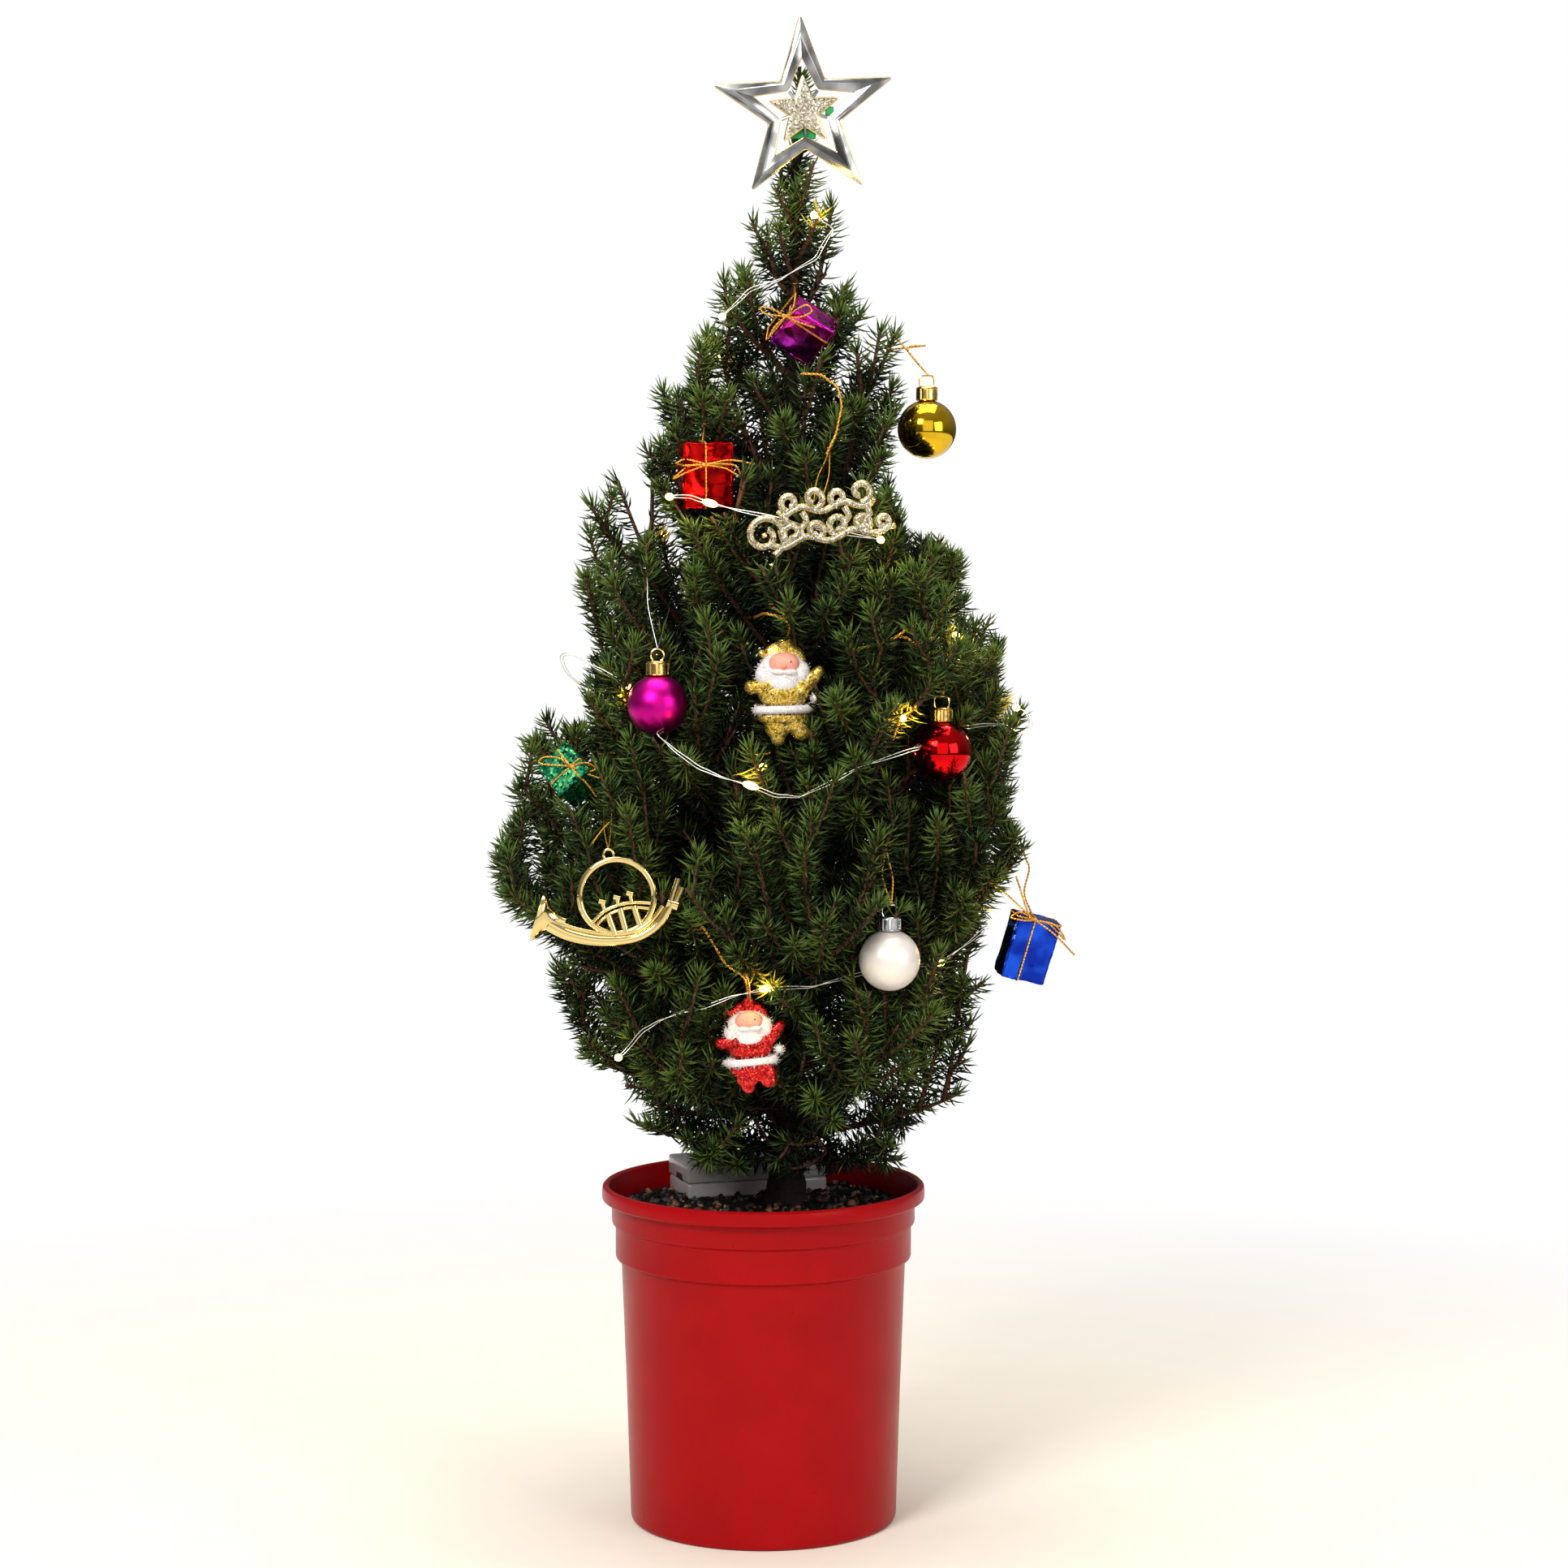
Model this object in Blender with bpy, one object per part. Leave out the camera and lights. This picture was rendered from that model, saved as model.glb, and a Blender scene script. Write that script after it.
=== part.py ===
"""A potted dwarf alberta spruce with a star on its leader.

Metres, +Z up. The origin is the middle of the pot's flat underside, and -Y is the front.
The trunk stands in the soil of a red plastic pot and runs up through the crown to its tip. Boughs
fork from the trunk and end where their mass of needles starts; higher up the masses fork from the
trunk itself. Each mass is one stem with side shoots, three-sided twigs whose every side is drawn
out into needles, and it keeps to the space that lies nearer to its own stem than to any other.
"""

import math
import random

import bmesh
import bpy
import numpy as np
from mathutils import Vector

UP = Vector((0, 0, 1))
GOLDEN_TURN = math.radians(137.5)
CLEARANCE = 0.0003

# Pot
POT_HEIGHT = 0.210
RIM_RADIUS = 0.100
RIM_DEPTH = 0.010
LIP_ROUND = 0.0022
UPPER_BAND_RADIUS = 0.094
UPPER_BAND_END = 0.0245
LOWER_BAND_RADIUS = 0.0917
LOWER_BAND_END = 0.046
BODY_RADIUS = 0.0882
FOOT_RADIUS = 0.0825
FOOT_ROUND = 0.003
STEP_EASE = 0.0015
WALL = 0.0020
FLOOR = 0.0030
POT_SIDES = 30
DRAIN_HOLES = 4
DRAIN_RADIUS = 0.006
DRAIN_CIRCLE = 0.056

# Soil
SOIL_TOP = 0.197
SOIL_SHY = 0.0010
SOIL_DIP = 0.003
SOIL_BUMP = 0.0014
SOIL_RINGS = (0.020, 0.044, 0.070)
SOIL_SIDES = 20

# Trunk
TRUNK_FOOT = (0.0138, 0.0)
TRUNK_LEAN = 0.0085
TRUNK_SWAY = 0.0022
TRUNK_TIP = 0.894
TRUNK_RADIUS = 0.0098
TIP_RADIUS = 0.0011
TRUNK_TAPER = 0.85
FLARE = 0.0045
FLARE_HEIGHT = 0.012
ROOT_LOBES = 2.5
ROOT_LOBE_DEPTH = 0.5
ROOT_LOBE_TURN = 0.6
TRUNK_SIDES = 9
TRUNK_RINGS = 14
RINGS_TO_FOOT = 1.25

# Boughs
BOUGH_SIDES = 6
BOUGH_RINGS = 3
BARE_SHARE = 0.26
BEND_OUT = 0.60
BEND_UP = 0.20
END_SHY = 0.0060
BOUGH_RADIUS = 0.0040
BOUGH_TIP_RADIUS = 0.0026

# Needles and shoots
STEM_ROOT = 0.0026
STEM_RADIUS = 0.0056
SHOOT_RADIUS = 0.0050
SHOOT_TIP = 0.62
SEGMENT = 0.0190
TWIST = math.radians(43)
NEEDLE_OUT = 0.0105
NEEDLE_FORWARD = 0.0110
TUFT = 0.012
SPREAD = math.radians(48)
LIFT = 0.42
CURL = 0.20
FIRST_SHOOT = 0.06
FIRST_ON_TRUNK = 0.15
LAST_SHOOT = 0.82
LENGTH_AT_ROOT = 0.64
LENGTH_FALL = 0.30
TURNS_TRIED = 6
SHORTEST_SHOOT = 2
SHOOTS_APART = 0.0130
SPACE_MARGIN = 0.0011
LIMB_MARGIN = 0.0009
SHOOT_MARGIN = 0.0060
LOWEST_NEEDLE = POT_HEIGHT + 0.003
FIRST_SEED = 400

# Limbs, tier by tier from the pot up. Each row is a bearing in degrees (0 right, 90 back, 180 left,
# 270 front), the height of the fork, the reach from the trunk and the height of the needles' tip.
BOUGH_TIERS = {
    "bottom": [
        (200, 0.231, 0.104, 0.258),
        (328, 0.226, 0.088, 0.238),
        (95, 0.234, 0.112, 0.264),
    ],
    "low": [
        (182, 0.258, 0.143, 0.302),
        (352, 0.240, 0.118, 0.277),
        (240, 0.256, 0.140, 0.300),
        (290, 0.262, 0.140, 0.304),
        (50, 0.262, 0.148, 0.312),
        (130, 0.266, 0.148, 0.308),
    ],
    "middle": [
        (176, 0.302, 0.181, 0.394),
        (14, 0.282, 0.132, 0.338),
        (348, 0.322, 0.150, 0.426),
        (226, 0.312, 0.164, 0.402),
        (277, 0.308, 0.166, 0.396),
        (63, 0.316, 0.164, 0.412),
        (120, 0.320, 0.166, 0.404),
    ],
    "high": [
        (186, 0.385, 0.163, 0.492),
        (4, 0.380, 0.146, 0.508),
    ],
}
# The same four sizes, and the count of side shoots, of the masses that fork from the trunk.
TRUNK_TIERS = {
    "inner": [
        (238, 0.392, 0.128, 0.512, 7),
        (300, 0.400, 0.128, 0.518, 7),
        (58, 0.396, 0.130, 0.520, 7),
        (118, 0.404, 0.130, 0.514, 7),
    ],
    "upper": [
        (176, 0.492, 0.114, 0.650, 6),
        (356, 0.480, 0.112, 0.606, 6),
        (268, 0.486, 0.098, 0.614, 7),
        (88, 0.500, 0.098, 0.626, 7),
    ],
    "shoulder": [
        (196, 0.580, 0.078, 0.700, 5),
        (160, 0.634, 0.054, 0.736, 4),
        (352, 0.594, 0.060, 0.740, 5),
        (280, 0.590, 0.052, 0.712, 5),
        (62, 0.598, 0.056, 0.722, 5),
        (118, 0.612, 0.050, 0.704, 4),
    ],
    "top": [
        (178, 0.756, 0.022, 0.800, 2),
        (188, 0.706, 0.036, 0.776, 3),
        (2, 0.744, 0.025, 0.790, 2),
        (355, 0.690, 0.038, 0.768, 3),
        (282, 0.752, 0.017, 0.826, 3),
        (96, 0.770, 0.014, 0.880, 4),
    ],
}
BOUGH_SHOOTS = 7
# The crown's outline, from the pot up: a height, and how far shoots reach from the trunk to its
# left, to its right, and to its front and back.
OUTLINE = (
    (0.225, 0.066, 0.060, 0.080),
    (0.255, 0.096, 0.090, 0.110),
    (0.300, 0.132, 0.112, 0.140),
    (0.335, 0.150, 0.120, 0.152),
    (0.400, 0.176, 0.136, 0.164),
    (0.440, 0.170, 0.140, 0.162),
    (0.500, 0.148, 0.136, 0.150),
    (0.555, 0.134, 0.116, 0.136),
    (0.600, 0.124, 0.092, 0.118),
    (0.640, 0.110, 0.066, 0.096),
    (0.700, 0.076, 0.058, 0.070),
    (0.745, 0.050, 0.054, 0.050),
    (0.780, 0.032, 0.032, 0.036),
    (0.820, 0.020, 0.020, 0.024),
    (0.910, 0.016, 0.016, 0.018),
)

# Star topper
STAR_RADIUS = 0.057
STAR_CENTRE = Vector((0.0249, -0.0135, 0.866))
STAR_TURN = math.radians(2.5)
STAR_THICK = 0.005
STAR_NOTCH = 0.39
OPENING_POINT = 0.57
OPENING_NOTCH = 0.26
SMALL_STAR_RADIUS = 0.0215
SMALL_STAR_NOTCH = 0.42
STRUT_WIDTH = 0.0034
STAR_MARGIN = 0.0018
CLIP_RADIUS = 0.0042
CLIP_ENDS = (0.854, 0.868)

RED_PLASTIC = ("Red plastic", (0.45, 0.016, 0.018), 0.42, 0.0)
POTTING_SOIL = ("Potting soil", (0.028, 0.020, 0.014), 0.95, 0.0)
SPRUCE_BARK = ("Spruce bark", (0.115, 0.062, 0.036), 0.88, 0.0)
SPRUCE_NEEDLES = ("Spruce needles", (0.030, 0.075, 0.018), 0.55, 0.0)
SILVER_PLATE = ("Silver plate", (0.78, 0.77, 0.74), 0.18, 1.0)


def material(name, colour, roughness, metallic):
    found = bpy.data.materials.get(name)
    if found:
        return found
    made = bpy.data.materials.new(name)
    made.use_nodes = True
    made.diffuse_color = (*colour, 1)
    shader = made.node_tree.nodes["Principled BSDF"]
    shader.inputs["Base Color"].default_value = (*colour, 1)
    shader.inputs["Roughness"].default_value = roughness
    shader.inputs["Metallic"].default_value = metallic
    return made


def mesh_object(name, points, faces, finish=None):
    """A new object of these points and faces, in the scene's own collection."""
    mesh = bpy.data.meshes.new(name)
    mesh.from_pydata([tuple(point) for point in points], [], faces)
    if finish:
        mesh.materials.append(material(*finish))
    made = bpy.data.objects.new(name, mesh)
    bpy.context.scene.collection.objects.link(made)
    return made


def cutter(made):
    made.hide_render = True
    made.display_type = "WIRE"
    return made


def applied_boolean(target, operation, solver, other=None, collection=None):
    """Joins or cuts target by one object or by a collection, applies it and removes what it used."""
    boolean = target.modifiers.new("Boolean", "BOOLEAN")
    boolean.operation = operation
    boolean.solver = solver
    if collection:
        boolean.operand_type = "COLLECTION"
        boolean.collection = collection
    else:
        boolean.object = other
    graph = bpy.context.evaluated_depsgraph_get()
    result = bpy.data.meshes.new_from_object(target.evaluated_get(graph))
    target.modifiers.clear()
    target.data = result
    if collection:
        for used in list(collection.objects):
            bpy.data.objects.remove(used, do_unlink=True)
        bpy.data.collections.remove(collection)


def keep_largest_shell(target):
    """Drops loose scraps, and the inner shells of hollows that the joining closed off."""
    shape = bmesh.new()
    shape.from_mesh(target.data)
    bmesh.ops.triangulate(shape, faces=shape.faces)
    unseen = set(shape.faces)
    shells = []
    while unseen:
        grown = [unseen.pop()]
        for face in grown:
            for edge in face.edges:
                for linked in edge.link_faces:
                    if linked in unseen:
                        unseen.remove(linked)
                        grown.append(linked)
        volume = sum(
            face.verts[0].co.dot(face.verts[1].co.cross(face.verts[2].co)) for face in grown
        )
        shells.append((volume, grown))
    shells.sort(key=lambda shell: shell[0])
    for _, faces in shells[:-1]:
        bmesh.ops.delete(shape, geom=faces, context="FACES")
    loose = [point for point in shape.verts if not point.link_faces]
    bmesh.ops.delete(shape, geom=loose, context="VERTS")
    shape.to_mesh(target.data)
    shape.free()


def frames_along(points):
    """The tangent and two cross directions at each point of a path, turned as little as possible."""
    tangents = []
    for index in range(len(points)):
        before = points[max(index - 1, 0)]
        after = points[min(index + 1, len(points) - 1)]
        tangents.append((after - before).normalized())
    across = tangents[0].orthogonal().normalized()
    frames = []
    for index, tangent in enumerate(tangents):
        if index:
            across = tangents[index - 1].rotation_difference(tangent) @ across
        frames.append((tangent, across, tangent.cross(across)))
    return frames


def ring(centre, across, along, radius, sides, turn=0.0):
    return [
        centre
        + across * (radius * math.cos(turn + math.tau * side / sides))
        + along * (radius * math.sin(turn + math.tau * side / sides))
        for side in range(sides)
    ]


def lofted(name, rings, finish=None):
    """A closed body through rings of equal counts, with a flat cap at each end."""
    sides = len(rings[0])
    points = [point for one in rings for point in one]
    faces = [list(range(sides))[::-1]]
    for index in range(len(rings) - 1):
        first = index * sides
        for side in range(sides):
            beside = (side + 1) % sides
            faces.append([first + side, first + beside, first + sides + beside, first + sides + side])
    faces.append([len(points) - sides + side for side in range(sides)])
    return mesh_object(name, points, faces, finish)


def turned(name, profile, sides, finish=None):
    """A body turned about Z from a profile that starts and ends on the axis, bottom first."""
    points = [Vector((0, 0, profile[0][1]))]
    for radius, height in profile[1:-1]:
        points += ring(Vector((0, 0, height)), Vector((1, 0, 0)), Vector((0, 1, 0)), radius, sides)
    points.append(Vector((0, 0, profile[-1][1])))
    last = len(points) - 1
    faces = []
    for side in range(sides):
        beside = (side + 1) % sides
        faces.append([0, 1 + beside, 1 + side])
        for index in range(len(profile) - 3):
            low = 1 + index * sides
            faces.append([low + side, low + beside, low + sides + beside, low + sides + side])
        faces.append([last - sides + side, last - sides + beside, last])
    return mesh_object(name, points, faces, finish)


def body_radius(height):
    """The outer radius of the pot's tapering body."""
    share = height / (POT_HEIGHT - LOWER_BAND_END)
    return FOOT_RADIUS + (BODY_RADIUS - FOOT_RADIUS) * share


def pot_profile():
    """The pot's section: up the outside, over the lip, down the inside and across the floor."""
    rim_under = POT_HEIGHT - RIM_DEPTH
    upper_end = POT_HEIGHT - UPPER_BAND_END
    lower_end = POT_HEIGHT - LOWER_BAND_END
    lip = POT_HEIGHT - LIP_ROUND
    ease = STEP_EASE
    return [
        (0, 0),
        (FOOT_RADIUS - FOOT_ROUND, 0),
        (FOOT_RADIUS, FOOT_ROUND),
        (body_radius(lower_end), lower_end - ease),
        (LOWER_BAND_RADIUS, lower_end + ease),
        (LOWER_BAND_RADIUS, upper_end),
        (UPPER_BAND_RADIUS, upper_end + ease),
        (UPPER_BAND_RADIUS, rim_under),
        (RIM_RADIUS, rim_under + ease / 2),
        (RIM_RADIUS, lip),
        (RIM_RADIUS - LIP_ROUND, POT_HEIGHT),
        (RIM_RADIUS - 2 * LIP_ROUND, lip),
        (UPPER_BAND_RADIUS - WALL, rim_under - WALL),
        (UPPER_BAND_RADIUS - WALL, upper_end + ease),
        (LOWER_BAND_RADIUS - WALL, upper_end - ease),
        (LOWER_BAND_RADIUS - WALL, lower_end + ease),
        (BODY_RADIUS - WALL, lower_end - ease),
        (body_radius(FLOOR) - WALL, FLOOR),
        (0, FLOOR),
    ]


def make_pot():
    pot = turned("pot", pot_profile(), POT_SIDES, RED_PLASTIC)
    for hole in range(DRAIN_HOLES):
        angle = math.tau * (hole + 0.5) / DRAIN_HOLES
        centre = Vector((math.cos(angle), math.sin(angle), 0)) * DRAIN_CIRCLE
        rings = [
            ring(centre + UP * height, Vector((1, 0, 0)), Vector((0, 1, 0)), DRAIN_RADIUS, 10)
            for height in (-FLOOR, 2 * FLOOR)
        ]
        drill = cutter(lofted(f"drain_cutter_{hole}", rings))
        applied_boolean(pot, "DIFFERENCE", "EXACT", other=drill)
        bpy.data.objects.remove(drill, do_unlink=True)
    pot.data.shade_smooth()
    pot.data.set_sharp_from_angle(angle=math.radians(30))


def make_soil():
    """Fills the pot from its floor, with a low uneven mound and a flat place under the trunk."""
    dice = random.Random(FIRST_SEED)
    bottom = FLOOR + CLEARANCE
    top_edge = SOIL_TOP - SOIL_DIP
    upper_end = POT_HEIGHT - UPPER_BAND_END
    lower_end = POT_HEIGHT - LOWER_BAND_END
    shy = WALL + SOIL_SHY
    sides = [
        (body_radius(bottom) - shy, bottom),
        (BODY_RADIUS - shy, lower_end - STEP_EASE),
        (LOWER_BAND_RADIUS - shy, lower_end + STEP_EASE),
        (LOWER_BAND_RADIUS - shy, upper_end - STEP_EASE),
        (UPPER_BAND_RADIUS - shy, upper_end + STEP_EASE),
        (UPPER_BAND_RADIUS - shy, top_edge),
    ]
    soil = turned("soil", [(0, bottom)] + sides + [(0, SOIL_TOP)], SOIL_SIDES, POTTING_SOIL)
    shape = bmesh.new()
    shape.from_mesh(soil.data)
    middle = max(shape.verts, key=lambda point: (point.co.z, -point.co.length))
    spokes = list(middle.link_edges)
    fan = list(middle.link_faces)
    edge = [spoke.other_vert(middle) for spoke in spokes]
    bmesh.ops.delete(shape, geom=fan, context="FACES_ONLY")
    bmesh.ops.delete(shape, geom=[middle], context="VERTS")
    edge.sort(key=lambda point: math.atan2(point.co.y, point.co.x))
    foot = Vector((*TRUNK_FOOT, 0))
    outer = edge
    for radius in reversed(SOIL_RINGS):
        flat = radius == SOIL_RINGS[0]
        inner = []
        for point in edge:
            angle = math.atan2(point.co.y, point.co.x)
            share = radius / (UPPER_BAND_RADIUS - shy)
            place = Vector((math.cos(angle), math.sin(angle), 0)) * radius + foot * (1 - share)
            bump = 0 if flat else dice.uniform(-SOIL_BUMP, SOIL_BUMP)
            place.z = SOIL_TOP - (0 if flat else SOIL_DIP * share) + bump
            inner.append(shape.verts.new(place))
        for index, point in enumerate(outer):
            beside = (index + 1) % len(outer)
            shape.faces.new([point, outer[beside], inner[beside], inner[index]])
        outer = inner
    shape.faces.new(outer)
    shape.to_mesh(soil.data)
    shape.free()


def trunk_at(height):
    """The middle of the trunk at a height, with its lean and a slight sway."""
    share = (height - SOIL_TOP) / (TRUNK_TIP - SOIL_TOP)
    sway = TRUNK_SWAY * math.sin(math.tau * share)
    return Vector((TRUNK_FOOT[0] + TRUNK_LEAN * share + sway, TRUNK_FOOT[1] - sway, height))


def trunk_radius(height):
    share = max(0.0, (height - SOIL_TOP) / (TRUNK_TIP - SOIL_TOP))
    return TIP_RADIUS + (TRUNK_RADIUS - TIP_RADIUS) * (1 - share) ** TRUNK_TAPER


def make_trunk(name, extra, finish=None):
    """The trunk from its flat cut at the soil to its tip, or its like grown by extra as a cutter."""
    foot = SOIL_TOP + CLEARANCE
    rings = []
    for index in range(TRUNK_RINGS):
        share = index / (TRUNK_RINGS - 1)
        height = foot + (TRUNK_TIP - foot) * share**RINGS_TO_FOOT
        flare = FLARE * math.exp(-(height - foot) / FLARE_HEIGHT)
        points = []
        for side in range(TRUNK_SIDES):
            angle = math.tau * side / TRUNK_SIDES
            lobes = 1 + ROOT_LOBE_DEPTH * math.cos(ROOT_LOBES * angle + ROOT_LOBE_TURN) ** 2
            radius = trunk_radius(height) + flare * lobes + extra
            points.append(trunk_at(height) + Vector((math.cos(angle), math.sin(angle), 0)) * radius)
        rings.append(points)
    if extra:
        rings[-1] = [point + UP * TUFT for point in rings[-1]]
    return lofted(name, rings, finish)


class Limb:
    """One bough with its mass of needles, or a mass that forks from the trunk."""

    def __init__(self, index, name, bearing, fork, reach, tip, shoots, has_bough):
        self.index = index
        self.name = name
        self.shoots = shoots
        self.has_bough = has_bough
        angle = math.radians(bearing)
        outward = Vector((math.cos(angle), math.sin(angle), 0))
        rise = tip - fork
        self.start = trunk_at(fork)
        self.bend = self.start + outward * (BEND_OUT * reach) + UP * (BEND_UP * rise)
        self.end = self.start + outward * (reach - END_SHY) + UP * (rise - END_SHY)

    def at(self, share):
        """A point of the limb's curve, from the middle of the trunk at 0 to the needles' tip at 1."""
        rest = 1 - share
        return self.start * rest**2 + self.bend * (2 * rest * share) + self.end * share**2

    def first(self):
        """The share of the curve at which the mass starts."""
        return BARE_SHARE if self.has_bough else 0.0

    def path(self, begin, end, count):
        return [self.at(begin + (end - begin) * index / count) for index in range(count + 1)]

    def length(self):
        points = self.path(self.first(), 1.0, 12)
        return sum((after - before).length for before, after in zip(points, points[1:]))


def all_limbs():
    rows = []
    for tier, sizes in BOUGH_TIERS.items():
        rows += [(f"{tier}_{n}", *size, BOUGH_SHOOTS, True) for n, size in enumerate(sizes, 1)]
    for tier, sizes in TRUNK_TIERS.items():
        rows += [(f"{tier}_{n}", *size, False) for n, size in enumerate(sizes, 1)]
    return [Limb(index, *row) for index, row in enumerate(rows)]


class Segments:
    """Straight stretches with an owner and a radius, and how far a point is from each of them."""

    def __init__(self):
        self.rows = []

    def add(self, points, owner, radii=None):
        radii = radii or [0.0] * len(points)
        for index in range(len(points) - 1):
            pair = (*points[index], *points[index + 1])
            self.rows.append((*pair, owner, radii[index], radii[index + 1]))

    def close(self):
        table = np.array(self.rows)
        self.begin = table[:, :3]
        self.run = table[:, 3:6] - self.begin
        self.square = np.maximum((self.run**2).sum(axis=1), 1e-12)
        self.owner = table[:, 6].astype(int)
        self.radius = table[:, 7:9]

    def distances(self, point):
        """From a point to the surface of each stretch."""
        away = np.array(point) - self.begin
        share = np.clip((away * self.run).sum(axis=1) / self.square, 0, 1)
        gap = np.linalg.norm(away - self.run * share[:, None], axis=1)
        return gap - self.radius[:, 0] * (1 - share) - self.radius[:, 1] * share


def in_star_outline(offset):
    """Whether an offset from the star's middle lies within its outline, seen from the front."""
    turn = (math.atan2(offset.z, offset.x) - STAR_TURN - math.pi / 2) % (math.tau / 5)
    turn = min(turn, math.tau / 5 - turn)
    half = math.pi / 5
    point, notch = STAR_RADIUS, STAR_RADIUS * STAR_NOTCH
    edge = point * notch * math.sin(half)
    edge /= point * math.sin(turn) + notch * math.sin(half - turn)
    return math.hypot(offset.x, offset.z) < edge + STAR_MARGIN


class Space:
    """Says whether a point lies in a mass's own space, clear of the limbs, the pot and the star."""

    def __init__(self, limbs):
        self.stems = Segments()
        self.woods = Segments()
        for limb in limbs:
            self.stems.add(limb.path(limb.first(), 1.0, 7), limb.index)
            if limb.has_bough:
                points = limb.path(0.0, BARE_SHARE, 3)
                self.woods.add(points, limb.index, [bough_radius(s / 3) for s in range(4)])
        heights = [SOIL_TOP + (TRUNK_TIP - SOIL_TOP) * s / 20 for s in range(21)]
        trunk = [trunk_at(height) for height in heights]
        self.woods.add(trunk, -1, [trunk_radius(height) for height in heights])
        clip = [trunk_at(height) for height in CLIP_ENDS]
        self.woods.add(clip, -1, [CLIP_RADIUS, CLIP_RADIUS])
        web_end = clip[0].lerp(clip[1], 0.5)
        web = [web_end, Vector((web_end.x, STAR_CENTRE.y, web_end.z))]
        self.woods.add(web, -1, [CLIP_RADIUS / 2, CLIP_RADIUS / 2])
        self.stems.close()
        self.woods.close()

    def own(self, point, index):
        gaps = self.stems.distances(point)
        mine = self.stems.owner == index
        return gaps[mine].min() + SPACE_MARGIN < gaps[~mine].min()

    def clear(self, point):
        if point.z < LOWEST_NEEDLE:
            return False
        from_star = point - STAR_CENTRE
        if abs(from_star.y) < STAR_THICK / 2 + STAR_MARGIN and in_star_outline(from_star):
            return False
        return self.woods.distances(point).min() > LIMB_MARGIN

    def free(self, point, index):
        return self.own(point, index) and self.clear(point)


def bough_radius(share):
    return BOUGH_RADIUS + (BOUGH_TIP_RADIUS - BOUGH_RADIUS) * share


def make_bough(limb, trunk_cutter):
    points = limb.path(0.0, BARE_SHARE, BOUGH_RINGS - 1)
    frames = frames_along(points)
    ahead = (limb.at(BARE_SHARE + 0.01) - points[-1]).normalized()
    frames[-1] = (ahead, frames[-1][1], ahead.cross(frames[-1][1]))
    rings = []
    for index, (point, frame) in enumerate(zip(points, frames)):
        radius = bough_radius(index / (BOUGH_RINGS - 1))
        rings.append(ring(point, frame[1], frame[2], radius, BOUGH_SIDES))
    bough = lofted(f"bough_{limb.name}", rings, SPRUCE_BARK)
    applied_boolean(bough, "DIFFERENCE", "MANIFOLD", other=trunk_cutter)
    keep_largest_shell(bough)


def stem_of(limb):
    """The points of a mass's own stem, a clearance past its bough's end or from inside the trunk."""
    count = max(3, round(limb.length() / SEGMENT))
    points = limb.path(limb.first(), 1.0, count)
    if limb.has_bough:
        ahead = (limb.at(limb.first() + 0.01) - points[0]).normalized()
        points[0] = points[0] + ahead * CLEARANCE
    return points


def from_stretch(point, begin, end):
    """How far a point is from the straight stretch between begin and end."""
    run = end - begin
    share = min(1.0, max(0.0, (point - begin).dot(run) / run.length_squared))
    return (point - begin - run * share).length


def off_paths(point, paths, margin):
    return all(
        from_stretch(point, begin, end) > margin
        for path in paths
        for begin, end in zip(path, path[1:])
    )


def twig_rings(path, root, radius):
    """Three corners at each step of a path: root wide at its start, then tapering from radius."""
    last = len(path) - 1
    widths = [root] + [radius * (1 - (1 - SHOOT_TIP) * step / last) for step in range(1, last + 1)]
    return [
        ring(centre, frame[1], frame[2], width, 3, step * TWIST)
        for step, (centre, frame, width) in enumerate(zip(path, frames_along(path), widths))
    ]


def in_crown(point):
    """Whether a point of a shoot keeps within the crown's outline."""
    heights, left, right, front = zip(*OUTLINE)
    away = point - trunk_at(point.z)
    beside = np.interp(point.z, heights, left if away.x < 0 else right)
    return math.hypot(away.x / beside, away.y / np.interp(point.z, heights, front)) < 1


def trimmed(path, space, index, others):
    """The path up to where its twig would leave the crown or the mass's space, or near another."""
    rings = twig_rings(path, SHOOT_RADIUS, SHOOT_RADIUS)
    for step in range(1, len(path)):
        if not in_crown(path[step]):
            return path[:step]
        if not all(space.free(corner, index) for corner in rings[step]):
            return path[:step]
        if step > 1 and not off_paths(path[step], others, SHOOTS_APART):
            return path[:step]
    return path


def side_shoots_of(limb, stem, space):
    """Side shoots along the stem, each at the turn that leaves it the most room, curling upwards."""
    dice = random.Random(FIRST_SEED + 1 + limb.index)
    frames = frames_along(stem)
    phase = dice.uniform(0, math.tau)
    first = FIRST_SHOOT if limb.has_bough else FIRST_ON_TRUNK
    paths = []
    for number in range(limb.shoots):
        share = first + (LAST_SHOOT - first) * (number + 0.5) / limb.shoots
        place = share * (len(stem) - 1)
        index = int(place)
        base = stem[index].lerp(stem[index + 1], place - index)
        tangent, across, beside = frames[index]
        length = limb.length() * (LENGTH_AT_ROOT - LENGTH_FALL * share) * dice.uniform(0.88, 1.1)
        count = max(2, round(length / SEGMENT))
        best = []
        for again in range(TURNS_TRIED):
            turn = phase + number * GOLDEN_TURN + again * math.tau / TURNS_TRIED
            out = across * math.cos(turn) + beside * math.sin(turn)
            heading = tangent * math.cos(SPREAD) + out * math.sin(SPREAD) + UP * LIFT
            heading.normalize()
            path = []
            for step in range(count + 1):
                reach = step / count
                rise = CURL * length * reach**2
                path.append(base + heading * (length * reach) + UP * rise)
            path = trimmed(path, space, limb.index, [stem] + paths)
            if len(path) > len(best):
                best = path
        if len(best) > SHORTEST_SHOOT:
            paths.append(best)
    return paths


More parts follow.
